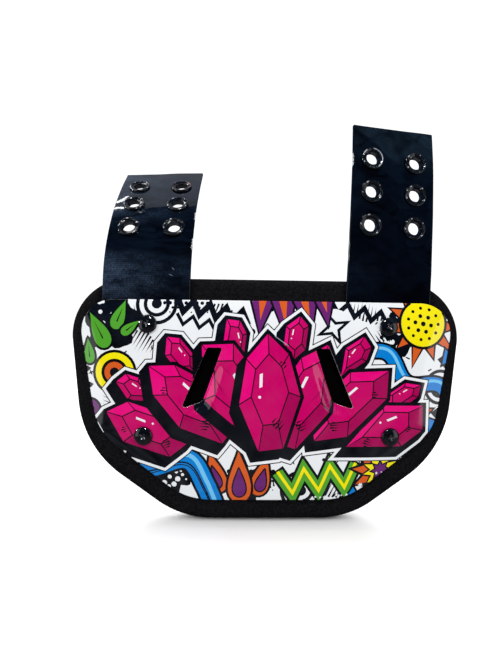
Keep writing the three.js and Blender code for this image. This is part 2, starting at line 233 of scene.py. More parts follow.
class Strap:
    """Ribbon that starts behind the plate. Lengths along it count from the plate's top edge."""

    def __init__(self, side, across, lean, twist, tilts):
        self.side = side
        self.across = across
        self.slope = -2 * PAD_BOW * across / BOW_HALF ** 2
        self.lean = math.radians(lean)
        yaw = math.atan(-self.slope)
        level = np.array((math.cos(yaw), math.sin(yaw), 0))
        back = np.array((-math.sin(yaw), math.cos(yaw), 0))
        rise = np.array((0, 0, 1.0))
        up = rise * math.cos(self.lean) + level * math.sin(self.lean)
        level = level * math.cos(self.lean) - rise * math.sin(self.lean)
        self.along = np.arange(-STRAP_TUCK, STRAP_LENGTH + 1)
        tilt = np.radians(np.interp(self.along, *zip(*tilts)))[:, None]
        turn = math.radians(twist) * np.maximum(self.along, 0)[:, None] / STRAP_LENGTH
        tangent = up * np.cos(tilt) + back * np.sin(tilt)
        behind = back * np.cos(tilt) - up * np.sin(tilt)
        self.sideways = level * np.cos(turn) + behind * np.sin(turn)
        self.front = np.cross(self.sideways, tangent)
        depth = pad_front(across) - STRAP_SINK - STRAP_THICKNESS / 2
        start = np.array((across, -depth, PLATE_TOP)) - up * STRAP_TUCK
        self.middle = start + np.cumsum(np.vstack((np.zeros(3), tangent[:-1])), axis=0)

    def frame_at(self, along):
        """Middle, sideways and front vectors at lengths along the strap."""
        return [
            np.stack([np.interp(along, self.along, column) for column in rows.T], axis=-1)
            for rows in (self.middle, self.sideways, self.front)
        ]

    def eyelets(self):
        """Sideways and lengthwise place of each eyelet, row by row from the lowest."""
        return [
            (way * COLUMN_PITCH / 2, FIRST_ROW + row * ROW_PITCH)
            for row in range(EYELET_ROWS)
            for way in SIDES.values()
        ]

    def ripple(self, u, v):
        """Gentle waves of the coated surface, with a pucker round each eyelet."""
        phase = self.across / 10
        waves = 0
        pucker = 0
        calm = smooth(v, 0, CALM_LENGTH)
        for height, across, along, turn in STRAP_WAVES:
            waves = waves + height * np.sin(across * u + along * v + turn * phase)
        for x, along in self.eyelets():
            reach = np.hypot(u - x, v - along)
            calm = calm * smooth(reach, *CALM_ROUND)
            pucker = pucker - PUCKER_DEPTH * np.exp(-((reach - PUCKER_RADIUS) / PUCKER_WIDTH) ** 2)
        return waves * calm + pucker

    def place(self, u, v, share):
        middle, sideways, front = self.frame_at(v)
        height = STRAP_THICKNESS * (0.5 - share) + self.ripple(u, v)
        return middle + sideways * u[..., None] + front * height[..., None]


# Each strap's side, place across, lean and twist in degrees, and tilts
STRAPS = [
    Strap("left", -88.4, 0.8, -1.6, LEFT_TILTS),
    Strap("right", 87.8, 2.4, 5.2, RIGHT_TILTS),
]

# Meshes
MERGE_DISTANCE = 1e-5
LEAST_LENGTH = 1e-9
NORMAL_REACH = 0.25
EDGE_STEPS = 4
ATTRIBUTE_FIELDS = {"FLOAT": "value", "FLOAT_VECTOR": "vector", "FLOAT_COLOR": "color"}


def grid_points(low, high, spacing):
    """Rows of points over a rectangle, every other row shifted by half a step."""
    rows = []
    for row in range(math.ceil((high[1] - low[1]) / spacing) + 1):
        x = np.arange(low[0] + spacing / 2 * (row % 2), high[0], spacing)
        rows.append(np.column_stack((x, np.full(len(x), low[1] + row * spacing))))
    return np.vstack(rows)


def anticlockwise(polygon):
    x, z = np.transpose(polygon)
    area = np.sum(x * np.roll(z, -1) - np.roll(x, -1) * z)
    return polygon if area > 0 else polygon[::-1]


def triangulated(outline, holes, points, art):
    """Triangles of an outline less its holes, and the uppermost art polygon over each, -1 for none."""
    corners = []
    faces = []
    for loop in (outline, *holes, *[polygon for _, polygon in art]):
        start = len(corners)
        corners += [Vector(point) for point in anticlockwise(np.asarray(loop))]
        faces.append(list(range(start, len(corners))))
    corners += [Vector(point) for point in points]
    found = delaunay_2d_cdt(corners, [], faces, 0, MERGE_DISTANCE, True)
    places, cells, owners = found[0], found[2], found[5]
    first_art = 1 + len(holes)
    triangles = []
    uppermost = []
    for cell, owner in zip(cells, owners):
        in_hole = any(0 < face < first_art for face in owner)
        if 0 in owner and not in_hole:
            triangles.append(cell)
            uppermost.append(max(max(owner) - first_art, -1))
    used, triangles = np.unique(np.array(triangles), return_inverse=True)
    flat = np.array([places[i][:] for i in used])
    return flat, triangles.reshape(-1, 3), np.array(uppermost)


def border_edges(triangles):
    """Directed edges that one triangle alone has, and that triangle."""
    edges = {}
    for n, (a, b, c) in enumerate(triangles):
        for edge in ((a, b), (b, c), (c, a)):
            edges[edge] = n
    return [(a, b, n) for (a, b), n in edges.items() if (b, a) not in edges]


class Slab:
    """Closed sheet between a front and a back with a shaped edge.

    place(u, v, share) gives its points from the front, share 0, to the back, share 1.
    The edge's rows are the way outward, the share and the turn of the normal from the front.
    """

    def __init__(self, loops, points, place, edge, art=()):
        outlines = [loop for loop, _ in loops]
        ways_out = np.vstack([loops[0][1]] + [-normals for _, normals in loops[1:]])
        flat, triangles, self.uppermost = triangulated(outlines[0], outlines[1:], points, art)
        border = border_edges(triangles)
        rim = sorted({a for a, _, _ in border})
        distance = np.linalg.norm(flat[rim][:, None] - np.vstack(outlines)[None], axis=2)
        out = np.zeros_like(flat)
        out[rim] = ways_out[distance.argmin(axis=1)]
        whole = list(range(len(flat)))
        layers = [(whole, 0, 0, 0), *[(rim, *row) for row in edge], (whole, 0, 1, 180)]
        copies = np.zeros((len(layers), len(flat)), int)
        count = 0
        for copy, (chosen, _, _, _) in zip(copies, layers):
            copy[chosen] = np.arange(count, count + len(chosen))
            count += len(chosen)
        self.flat = np.vstack([flat[chosen] + out[chosen] * outward for chosen, outward, _, _ in layers])
        rows = [np.tile([[share], [turn]], len(chosen)) for chosen, _, share, turn in layers]
        shares, turns = np.hstack(rows)
        outward_ways = np.vstack([out[chosen] for chosen, _, _, _ in layers])
        self.points = place(*self.flat.T, shares)
        self.normals = slab_normals(place, self.flat, np.radians(turns), outward_ways)
        self.faces = [tuple(triangle) for triangle in triangles]
        self.source = list(range(len(triangles)))
        self.band = [0] * len(triangles)
        for a, b, n in border:
            for k, (near, far) in enumerate(zip(copies, copies[1:])):
                self.faces.append((near[a], far[a], far[b], near[b]))
                self.source.append(n)
                self.band.append(k + 1)
        self.faces += [tuple(copies[-1][triangle[::-1]]) for triangle in triangles]
        self.source += list(range(len(triangles)))
        self.band += [len(layers)] * len(triangles)


def slab_normals(place, flat, turns, out):
    u, v = flat.T
    front = np.zeros(len(flat))
    along_u = place(u + NORMAL_REACH, v, front) - place(u - NORMAL_REACH, v, front)
    along_v = place(u, v + NORMAL_REACH, front) - place(u, v - NORMAL_REACH, front)
    facing = np.cross(along_u, along_v)
    facing /= np.linalg.norm(facing, axis=1)[:, None]
    sideways = along_u * out[:, :1] + along_v * out[:, 1:]
    length = np.maximum(np.linalg.norm(sideways, axis=1), LEAST_LENGTH)[:, None]
    return facing * np.cos(turns)[:, None] + sideways / length * np.sin(turns)[:, None]


def round_edge(radius, thickness):
    """Edge rows of a sheet whose two corners are rounded."""
    front = []
    for k in range(1, EDGE_STEPS + 1):
        angle = math.pi / 2 * k / EDGE_STEPS
        share = radius * (1 - math.cos(angle)) / thickness
        front.append((radius * math.sin(angle), share, math.degrees(angle)))
    back = [(outward, 1 - share, 180 - turn) for outward, share, turn in reversed(front)]
    return front + back


def lathe_faces(rings, sides, start=0, closed=False):
    """Faces through rings of points: round to the first ring again, or with a face at both ends."""
    faces = []
    for k in range(rings if closed else rings - 1):
        here = start + k * sides
        beyond = start + (k + 1) % rings * sides
        for i in range(sides):
            n = (i + 1) % sides
            faces.append((here + i, here + n, beyond + n, beyond + i))
    if not closed:
        last = start + (rings - 1) * sides
        faces.append(tuple(start + i for i in reversed(range(sides))))
        faces.append(tuple(last + i for i in range(sides)))
    return faces


def keep_values(mesh, name, kind, domain, values):
    """Numbers, vectors or colours kept on a mesh under a name."""
    attribute = mesh.attributes.new(name, kind, domain)
    attribute.data.foreach_set(ATTRIBUTE_FIELDS[kind], np.asarray(values, np.float32).ravel())


def mesh_object(name, points, faces, materials, material_of_face=None, normals=None, flat=None):
    mesh = bpy.data.meshes.new(name)
    mesh.from_pydata((np.asarray(points) * MILLIMETRE).tolist(), [], faces)
    for material in materials:
        mesh.materials.append(material)
    if material_of_face is not None:
        mesh.polygons.foreach_set("material_index", np.asarray(material_of_face, np.int32))
    if flat is not None:
        keep_values(mesh, "flat", "FLOAT_VECTOR", "POINT", np.column_stack((flat, np.zeros(len(flat)))))
    mesh.shade_smooth()
    if normals is not None:
        mesh.normals_split_custom_set_from_vertices(np.asarray(normals).tolist())
    mesh.update()
    piece = bpy.data.objects.new(name, mesh)
    bpy.context.scene.collection.objects.link(piece)
    return piece


def paint_faces(mesh, name, colours):
    """One colour for each face, kept on its corners."""
    sizes = np.zeros(len(mesh.polygons), np.int32)
    mesh.polygons.foreach_get("loop_total", sizes)
    keep_values(mesh, name, "FLOAT_COLOR", "CORNER", np.repeat(colours, sizes, axis=0))


def fit(piece, node):
    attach(piece, "root")
    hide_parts(node)


# Materials
THREAD_GREYS = {"Color1": 1.0, "Color2": 0.5, "Mortar": 0.35}
THREAD_GAP = 0.2


def linear(red, green, blue):
    """Linear colour from screen values of 0 to 255."""
    values = []
    for byte in (red, green, blue):
        share = byte / 255
        values.append(share / 12.92 if share <= 0.04045 else ((share + 0.055) / 1.055) ** 2.4)
    return (*values, 1.0)


class Nodes:
    """Short ways to add nodes to a tree. An input is a constant or another node's output."""

    def __init__(self, tree):
        self.tree = tree

    def plug(self, node, inputs):
        for name, value in inputs.items():
            if isinstance(value, bpy.types.NodeSocket):
                self.tree.links.new(value, node.inputs[name])
            else:
                node.inputs[name].default_value = value

    def add(self, kind, inputs=None, **settings):
        node = self.tree.nodes.new("ShaderNode" + kind)
        for setting, value in settings.items():
            setattr(node, setting, value)
        self.plug(node, inputs or {})
        return node

    def mark(self, name, output="Fac"):
        """What is kept on the mesh under a name."""
        return self.add("Attribute", attribute_name=name).outputs[output]

    def where(self, attribute=None, stretch=None):
        """Coordinates: the object's own in metres, or those kept on its points in millimetres."""
        if attribute is None:
            place = self.add("TexCoord").outputs["Object"]
        else:
            place = self.mark(attribute, "Vector")
        if stretch is None:
            return place
        return self.add("VectorMath", {0: place, 1: stretch}, operation="MULTIPLY").outputs["Vector"]

    def along(self, axis, attribute):
        """One coordinate of those kept on the points."""
        return self.add("SeparateXYZ", {"Vector": self.where(attribute)}).outputs[axis]

    def noise(self, scale, detail=3.0, roughness=0.5, attribute=None, stretch=None):
        place = self.where(attribute, stretch)
        inputs = {"Vector": place, "Scale": scale, "Detail": detail, "Roughness": roughness}
        return self.add("TexNoise", inputs).outputs["Fac"]

    def cells(self, scale):
        return self.add("TexVoronoi", {"Vector": self.where(), "Scale": scale}).outputs["Distance"]

    def threads(self, width, length, attribute):
        """Staggered short threads, each of its own brightness, with dark gaps between them."""
        inputs = {socket: (grey, grey, grey, 1) for socket, grey in THREAD_GREYS.items()}
        inputs |= {"Brick Width": width, "Row Height": length, "Mortar Size": THREAD_GAP * width}
        inputs |= {"Scale": 1, "Vector": self.where(attribute)}
        return self.add("TexBrick", inputs).outputs["Color"]

    def dash(self, place, size, degrees, attribute):
        """Soft spot in the shape of a short line."""
        inputs = {"Location": (*place, 0), "Rotation": (0, 0, math.radians(degrees)), "Scale": (*size, 1)}
        inputs["Vector"] = self.where(attribute)
        fitted = self.add("Mapping", inputs, vector_type="TEXTURE").outputs["Vector"]
        return self.add("TexGradient", {"Vector": fitted}, gradient_type="SPHERICAL").outputs["Fac"]

    def ramp(self, value, low, high, to_low=0.0, to_high=1.0, **settings):
        limits = {"From Min": low, "From Max": high, "To Min": to_low, "To Max": to_high}
        return self.add("MapRange", {"Value": value, **limits}, **settings).outputs["Result"]

    def combine(self, operation, first, second):
        return self.add("Math", {0: first, 1: second}, operation=operation).outputs["Value"]

    def product(self, first, *others):
        for other in others:
            first = self.combine("MULTIPLY", first, other)
        return first

    def blend(self, share, first, second):
        """Mix of two colours."""
        return self.add("Mix", {"Factor": share, 6: first, 7: second}, data_type="RGBA").outputs[2]


class Finish(Nodes):
    """Material with one Principled shader, whose inputs are named with _ for a space."""

    def __init__(self, name, colour=(0, 0, 0), **inputs):
        self.material = bpy.data.materials.new(name)
        self.material.use_nodes = True
        super().__init__(self.material.node_tree)
        self.colour = linear(*colour)
        self.set(**inputs)

    def set(self, **inputs):
        shader = self.tree.nodes["Principled BSDF"]
        self.plug(shader, {name.replace("_", " "): value for name, value in inputs.items()})

    def tint(self, share, colour):
        """Lays a colour over those so far."""
        self.colour = self.blend(share, self.colour, linear(*colour))
        self.set(Base_Color=self.colour)

    def with_relief(self, height, distance):
        """The material, once fine relief is added."""
        bump = self.add("Bump", {"Height": height, "Distance": distance * MILLIMETRE})
        self.set(Normal=bump.outputs["Normal"])
        return self.material


def foam_finish():
    """Black foam with fine grain and dust, and painted shade, near black, where the points are marked as
    lying under the plate.
    """
    finish = Finish("foam_black", (3, 3, 4), Specular_IOR_Level=0.04)
    patches = finish.noise(45)
    finish.tint(finish.ramp(patches, 0.35, 0.7), (8, 8, 10))
    finish.tint(finish.ramp(finish.noise(800, 3, 0.7), 0.36, 0.74), (27, 27, 30))
    finish.tint(finish.ramp(finish.noise(420, 2, 0.7), 0.66, 0.74, 0.0, 0.3), (56, 56, 58))
    # Painted shade: near black over the foam that lies under the plate
    finish.tint(finish.mark("painted_shade_under_plate"), (1, 1, 2))
    finish.set(Roughness=finish.ramp(patches, 0.3, 0.7, 0.82, 0.96))
    cells = finish.product(finish.cells(1400), 0.6)
    return finish.with_relief(finish.combine("ADD", finish.noise(900, 4, 0.6), cells), 0.22)


def print_finish():
    """Gloss over the inks kept on the mesh, with slight grey wear."""
    finish = Finish("printed_gloss", Specular_IOR_Level=0.5)
    finish.colour = finish.mark("ink", "Color")
    finish.tint(finish.ramp(finish.noise(60, 4, 0.6), 0.45, 0.75, 0.0, 0.03), (120, 118, 124))
    finish.set(Roughness=finish.ramp(finish.noise(110, 4, 0.65), 0.35, 0.7, 0.04, 0.12))
    return finish.with_relief(finish.noise(160, 2), 0.012)


def core_finish():
    finish = Finish("plastic_core", (198, 198, 200), Specular_IOR_Level=0.5)
    mottle = finish.ramp(finish.noise(300), 0.35, 0.7)
    finish.tint(mottle, (226, 226, 226))
    finish.set(Roughness=finish.ramp(mottle, 0, 1, 0.3, 0.5))
    return finish.with_relief(finish.noise(1200, 2), 0.03)


def vinyl_finish(name, haze, scratches=()):
    """Glossy coating. Haze is how strongly the weave shows through as dull threads near the plate.

    Scratches are rows of place, half length and half width, and degrees.
    """
    finish = Finish(name, (1, 1, 3), Specular_IOR_Level=0.5)
    patches = finish.noise(0.035, 4, 0.55, "flat")
    finish.tint(finish.ramp(patches, 0.45, 0.72), (3, 8, 19))
    fuzz = finish.ramp(finish.noise(1.0, 4, 0.7, "flat", (1.3, 0.45, 1)), 0.3, 0.7, 0.2, 1.2)
    weave = finish.threads(0.9, 1.5, "flat")
    mottle = finish.ramp(finish.noise(0.075, 4, 0.6, "flat", (0.7, 1.5, 1)), 0.36, 0.6, 0.15, 1.0)
    left = finish.ramp(finish.along("X", "flat"), -30, 16, 1.5, 0.3)
    mark_share = finish.product(fuzz, weave, mottle, left)
    height = finish.along("Y", "flat")
    near_plate = finish.ramp(height, 38, 16, 0.03 * haze, haze)
    near_plate = finish.product(near_plate, finish.ramp(height, 0, 14, 0.3, 1.0))
    near_rows = finish.ramp(height, 56, 72, 0.0, 0.45 * haze)
    finish.tint(finish.product(mark_share, finish.combine("MAXIMUM", near_plate, near_rows)), (70, 89, 116))
    for scratch in scratches:
        finish.tint(finish.ramp(finish.dash(*scratch, "flat"), 0.1, 0.6), (92, 108, 128))
    shine = finish.ramp(patches, 0.3, 0.75, 0.03, 0.08)
    finish.set(Roughness=finish.combine("ADD", shine, finish.product(mark_share, near_plate, 0.3)))
    return finish.with_relief(finish.noise(0.22, 2, 0.5, "flat"), 0.02)


def fibre_finish():
    finish = Finish("strap_fibre", (150, 152, 158), Specular_IOR_Level=0.3)
    strands = finish.noise(3.5, 3, 0.7, "flat")
    finish.tint(strands, (238, 238, 240))
    finish.set(Roughness=finish.ramp(strands, 0.3, 0.7, 0.6, 0.9))
    return finish.with_relief(strands, 0.15)


def enamel_finish(name, metal_and_glint):
    """Black enamel, down to the metal in small flecks. Where the points are marked, the metal's colour is
    partly rubbed wear and partly painted highlight and painted reflection.
    """
    finish = Finish(name, (7, 7, 9))
    flecks = finish.ramp(finish.noise(700, 3, 0.65), 0.68, 0.72)
    # Marked rims: painted highlights and painted reflection mixed with wear, broken up by noise
    rubbed_and_glints = finish.combine("ADD", finish.mark("rubbed_and_glints"), finish.noise(450, 3, 0.7))
    bare_and_glints = finish.combine("MAXIMUM", flecks, finish.ramp(rubbed_and_glints, 1.25, 1.5))
    finish.tint(bare_and_glints, metal_and_glint)
    finish.set(Metallic=finish.ramp(bare_and_glints, 0, 1, 0.0, 0.4))
    finish.set(Roughness=finish.ramp(finish.noise(300), 0.3, 0.7, 0.06, 0.16))
    return finish.with_relief(finish.noise(900, 2), 0.02)


def recess_finish():
    finish = Finish("recess_metal", (60, 60, 62), Metallic=1.0)
    scuffs = finish.noise(1500, 3, 0.7)
    finish.tint(scuffs, (170, 170, 172))
    finish.set(Roughness=finish.ramp(scuffs, 0.3, 0.7, 0.18, 0.34))
    return finish.with_relief(scuffs, 0.05)


def floor_finish():
    finish = Finish("floor_pale", (250, 250, 250), Specular_IOR_Level=0.1)
    grain = finish.noise(6)
    finish.tint(grain, (253, 253, 253))
    finish.set(Roughness=finish.ramp(grain, 0, 1, 0.75, 0.9))
    return finish.material


# Print: a generic design of cut stones over doodles, as pairs of ink and polygon from the rear
INKS = {
    "white": linear(231, 234, 237),
    "ink": linear(7, 9, 15),
    "magenta": linear(194, 0, 97),
    "pink": linear(226, 0, 120),
    "wine": linear(160, 0, 80),
    "blue": linear(0, 122, 204),
    "sky": linear(110, 190, 235),
    "yellow": linear(240, 225, 0),
    "green": linear(78, 159, 42),
    "orange": linear(209, 89, 28),
    "purple": linear(102, 33, 108),
    "grey": linear(150, 153, 160),
}
DROP_SIDES = 26
BLOT_SIDES = 40
DOT_SIDES = 12
WAVE_STEPS = 14
# Divisor that keeps the mitre of a sharp corner short
LEAST_MITRE = 0.35


def turned(points, degrees, x, z):
    angle = math.radians(degrees)
    rows = np.array(((math.cos(angle), math.sin(angle)), (-math.sin(angle), math.cos(angle))))
    return np.asarray(points, float) @ rows + (x, z)


def disc(x, z, radius, sides=DOT_SIDES):
    return ring_loop(x, z, radius, sides)[0]


def star(x, z, outer, inner, points, degrees):
    corners = np.arange(2 * points)
    radii = np.where(corners % 2 == 0, outer, inner)
    return (x, z) + directions(math.radians(degrees) + corners * math.pi / points) * radii[:, None]


def drop(x, z, size, degrees):
    angles = angles_round(DROP_SIDES)
    wide = 0.62 * size * np.sin(angles) * np.sin(angles / 2) ** 1.5
    return turned(np.column_stack((wide, size * np.cos(angles))), degrees, x, z)


def splash(x, z, radius, phase):
    """Blot with an uneven edge."""
    angles = angles_round(BLOT_SIDES)
    radii = radius * (1 + 0.16 * np.sin(5 * angles + phase) + 0.1 * np.sin(8 * angles + 2 * phase))
    return (x, z) + directions(angles) * radii[:, None]


def edge_normals(path, closed):
    ahead = np.roll(path, -1, axis=0) - path
    ahead /= np.maximum(np.linalg.norm(ahead, axis=1), LEAST_LENGTH)[:, None]
    right = np.column_stack((ahead[:, 1], -ahead[:, 0]))
    before = np.roll(right, 1, axis=0)
    if not closed:
        before[0] = right[0]
        right[-1] = before[-1]
    dot = np.sum(before * right, axis=1)
    return (before + right) / np.maximum(1 + dot, LEAST_MITRE)[:, None]


def grown(polygon, by):
    """Polygon with its sides moved outward."""
    polygon = anticlockwise(np.asarray(polygon, float))
    return polygon + edge_normals(polygon, True) * by


def stroke(path, width, past=0.0):
    """Band of even width along an open path, whose ends may go past the path's."""
    path = np.array(path, float)
    for end, before in ((0, 1), (-1, -2)):
        path[end] += unit(path[end] - path[before]) * past
    side = edge_normals(path, False) * width / 2
    return np.vstack((path + side, (path - side)[::-1]))


def striped(path, stripes):
    """Strokes along a path, each as ink, shift across and up, and width."""
    for name, across, up, width in stripes:
        yield name, stroke(path + (across, up), width)


def leftward(span, length):
    """Vector square to a span, to its left."""
    return np.array((-span[1], span[0])) / np.linalg.norm(span) * length


def zigzag(start, end, depth, count):
    along = (np.array(end, float) - start) / count
    across = leftward(along, depth / 2)
    return np.array([start + along * k + across * (-1) ** k for k in range(count + 1)])


def wave(start, end, depth, turns):
    span = np.array(end, float) - start
    shares = np.linspace(0, 1, WAVE_STEPS * math.ceil(turns) + 1)[:, None]
    return start + span * shares + leftward(span, depth / 2) * np.sin(2 * math.pi * turns * shares)


def hull(points):
    return np.array([points[i] for i in convex_hull_2d([Vector(point) for point in points])])


def outlined(name, polygon, line=1.5):
    return [("ink", grown(polygon, line)), (name, polygon)]


def target(x, z, radii, inks):
    return [(name, disc(x, z, radius, 28)) for radius, name in zip(radii, inks)]


def hatch(x, z, length, degrees, count, pitch, width):
    """Short parallel lines, shorter towards both ends of the row."""
    for k in range(count):
        offset = (k - (count - 1) / 2) * pitch
        half = length / 2 * (1 - 0.6 * abs(offset) / (count * pitch / 2))
        line = [(offset - width / 2, -half), (offset + width / 2, -half), (offset, half)]
        yield "ink", turned(line, degrees, x, z)


def dot_field(x, z, columns, rows, pitch, largest, degrees):
    """Dots in staggered rows that shrink from row to row."""
    for row in range(rows):
        radius = largest * (1 - row / (rows + 0.5))
        for column in range(columns):
            place = ((column + 0.5 * (row % 2)) * pitch, row * pitch * 0.87)
            yield "ink", disc(*turned([place], degrees, x, z)[0], radius)


# Cut stones in a fan, rear ones first: shape, degrees from upright, reach, half width and half height
STONE_SHAPES = {
    "round": [
        (-0.12, 1.0), (0.58, 0.66), (1.0, -0.06), (0.48, -0.94), (-0.32, -1.0), (-1.0, -0.22), (-0.8, 0.56),
    ],
    "long": [(0.05, 1.0), (0.85, 0.62), (0.95, -0.45), (0.2, -1.0), (-0.8, -0.7), (-0.95, 0.4)],
    "kite": [(-0.3, 1.0), (0.7, 0.8), (1.0, 0.2), (0.1, -1.0), (-1.0, 0.1)],
}
STONES = [
    ("kite", -14, 97, 9, 17), ("long", 11, 99, 9, 16), ("long", -37, 104, 9, 17), ("kite", 36, 103, 9, 17),
    ("kite", -58, 110, 9, 16), ("long", 60, 112, 8, 16),
    ("long", -70, 91, 16, 32), ("kite", 69, 91, 17, 32),
    ("round", -47, 76, 19, 38), ("long", 49, 77, 18, 37),
    ("kite", -24, 62, 21, 41), ("round", 26, 62, 20, 40),
    ("round", 1, 58, 22, 42),
]
STONE_HUB = (0, -50)
STONE_TABLE = 0.6
STONE_BLOCK = (-4.4, -5.4)
STONE_LINES = {"rim": 4.9, "keyline": 4.2, "block": 2.2, "facet": -0.42}
# Way to the light, and the light from which a facet is bright and up to which it is dark
STONE_LIGHT = (-0.6, 0.8)
BRIGHT_FROM = 0.45
DARK_TO = -0.55
# Glint on a stone, and rows of lines on large ones: place, length, degrees, count, pitch and width
STONE_GLINT = [(-1.2, -6), (1.2, -5), (1.2, 6), (-1.2, 5)]
LARGE_STONE = 15
STONE_HATCHES = [(0.3, -0.5, 12, 0, 4, 2.6, 1.3), (0.36, 0.46, 8, 180, 3, 2.4, 1.2)]
HATCH_TURN = 40


def on_stone(stone, points):
    """Points in millimetres from the middle of a stone, turned with it."""
    _, angle, reach, _, _ = stone
    out = math.radians(angle)
    x = STONE_HUB[0] + reach * math.sin(out)
    z = STONE_HUB[1] + reach * math.cos(out)
    return turned(points, -angle, x, z)


def stone_outline(stone):
    shape, _, _, wide, high = stone
    return anticlockwise(on_stone(stone, np.array(STONE_SHAPES[shape]) * (wide, high)))


def stone_body(stone):
    shape = stone_outline(stone)
    return hull(np.vstack((shape, shape + STONE_BLOCK)))


def stone_faces(stone):
    """Facets and table of a stone, lit ones bright and shaded ones dark, with a glint and rows of lines."""
    _, angle, _, wide, high = stone
    shape = stone_outline(stone)
    middle = on_stone(stone, [(0, 0)])[0]
    table = middle + (0, 0.05 * high) + (shape - middle) * STONE_TABLE
    for i in range(len(shape)):
        k = (i + 1) % len(shape)
        along = shape[k] - shape[i]
        light = (along[1] * STONE_LIGHT[0] - along[0] * STONE_LIGHT[1]) / np.linalg.norm(along)
        name = "pink" if light > BRIGHT_FROM else "wine" if light < DARK_TO else "magenta"
        yield name, grown([shape[i], shape[k], table[k], table[i]], STONE_LINES["facet"])
    yield "magenta", grown(table, STONE_LINES["facet"])
    size = wide / 25
    upper = -1 if angle >= 0 else 1
    glint = np.array(STONE_GLINT) * size + (upper * wide * 0.3, high * 0.2)
    yield "white", on_stone(stone, glint)
    dot = on_stone(stone, [(upper * wide * 0.33, -high * 0.08)])[0]
    yield "white", disc(*dot, 1.2 * size)
    if wide > LARGE_STONE:
        for across, up, length, degrees, count, pitch, width in STONE_HATCHES:
            place = on_stone(stone, [(-upper * wide * across, high * up)])[0]
            turn = degrees - angle + HATCH_TURN * upper
            yield from hatch(*place, length * size, turn, count, pitch * size, width)


# Small marks over the white ground: seed, count, and the least and greatest place and size
CRUMB_SEED = 11
CRUMB_COUNT = 150
CRUMB_ACROSS = (-132, 132)
CRUMB_UP = (-68, 71)
CRUMB_SIZE = (1.0, 2.6)


def crumbs():
    draw = random.Random(CRUMB_SEED)
    for _ in range(CRUMB_COUNT):
        x = draw.uniform(*CRUMB_ACROSS)
        z = draw.uniform(*CRUMB_UP)
        size = draw.uniform(*CRUMB_SIZE)
        kind = draw.randrange(4)
        turn = draw.uniform(0, 360)
        if kind == 0:
            yield "ink", disc(x, z, size * 0.6)
        elif kind == 1:
            yield "ink", disc(x, z, size, 14)
            yield "white", disc(x, z, size * 0.55, 14)
        elif kind == 2:
            yield "ink", star(x, z, size * 1.5, size * 0.5, 4, turn)
        else:
            line = [(-size, -0.5), (size, -0.5), (size, 0.5), (-size, 0.5)]
            yield "ink", turned(line, turn, x, z)


# Black doodles: rows of short lines, zigzags, blots with light dots, rings, stars and fields of dots
HATCHES = [
    (-92, 64, 17, 20, 9), (-130, 34, 14, 80, 8), (46, -60, 15, -25, 10), (128, -8, 14, 100, 8),
    (70, 66, 15, -14, 10), (-6, -57, 14, 8, 9), (-34, 64, 14, 160, 8), (-104, -34, 14, 40, 8),
    (-27, 55, 18, 28, 8), (-90, 43, 17, 150, 8), (84, 52, 15, 35, 7), (-112, 2, 13, 70, 7),
]
HATCH_PITCH = 2.6
HATCH_WIDTH = 1.5
ZIGZAGS = [
    ((-66, 70), (-14, 60), 9, 9, 4.2), ((-66, 60), (-26, 52), 7, 7, 2.4),
    ((108, -30), (70, -60), 9, 8, 4.0), ((-120, -18), (-84, -54), 8, 8, 3.6),
    ((131, 38), (125, -14), 8, 8, 3.6), ((44, 70), (86, 61), 8, 7, 3.4),
    ((-135, 34), (-127, -12), 8, 8, 3.4),
]
BLOTS = [(-112, 57, 19, 0.3), (80, -48, 14, 1.2), (-14, -60, 12, 2.2), (98, 52, 15, 4), (-66, -52, 11, 3)]
# Light dots on a blot: count, degrees from one to the next, and the reaches and radii that take turns
BLOT_DOTS = 14
BLOT_TURN = 77
BLOT_REACHES = (0.3, 0.55, 0.8)
BLOT_RADII = (0.7, 1.1, 1.5, 1.9)
RING_INKS = ("ink", "white", "ink", "white", "ink")
RINGS = [
    (-80, 70, (15, 12.4, 9.4, 6.8, 3.6)), (24, -62, (15, 12.4, 9.6, 7, 4)),
    (126, 12, (13, 10.6, 8, 5.6, 3)),
]
# Star of four points on a white disc: disc, place, degrees, and layers as ink, outer and inner radius
STAR_DISC = (46, 53, 15, 22)
STAR_PLACE = (46, 54)
STAR_TURN = 24
STAR_LAYERS = [("ink", 14, 5), ("white", 8, 2.6)]
DOT_FIELDS = [(94, -30, 6, 6, 3.8, 1.6, -38), (-42, 74, 9, 4, 3.8, 1.7, 180), (4, -48, 9, 5, 3.9, 1.7, 180)]


def doodles():
    for x, z, radius, phase in BLOTS:
        yield "ink", splash(x, z, radius, phase)
        for k in range(BLOT_DOTS):
            reach = radius * BLOT_REACHES[k % len(BLOT_REACHES)]
            spot = turned([(0, reach)], BLOT_TURN * k, x, z)[0]
            yield "white", disc(*spot, BLOT_RADII[k % len(BLOT_RADII)])
    for x, z, length, degrees, count in HATCHES:
        yield from hatch(x, z, length, degrees, count, HATCH_PITCH, HATCH_WIDTH)
    for start, end, depth, count, width in ZIGZAGS:
        yield "ink", stroke(zigzag(start, end, depth, count), width)
    for x, z, radii in RINGS:
        yield from target(x, z, radii, RING_INKS)
    yield "white", disc(*STAR_DISC)
    for name, outer, inner in STAR_LAYERS:
        yield name, star(*STAR_PLACE, outer, inner, 4, STAR_TURN)
    for field in DOT_FIELDS:
        yield from dot_field(*field)


# Coloured motifs round the stones
LEAVES = [(-121, 51, 14, 28), (-106, 62, 11, -20), (-128, 36, 9, 6), (-98, 53, 8, -52)]
FLAMES = [(-37, -49, 15, 16), (-4, -51, 15, -14), (-20, -52, 19, 2)]
TRIANGLES = [(108, -27, 9, 15), (121, -16, 7, 40), (62, -66, 6, 0), (132, 34, 6, 20)]
# Spikes from above the plate's edge: across, half width, height of the tip and its shift
SPIKES = [(-4, 9, 50, -3), (10, 9, 46, 2), (25, 9, 49, 5), (39, 7, 56, 3)]
SPIKE_TOP = 76
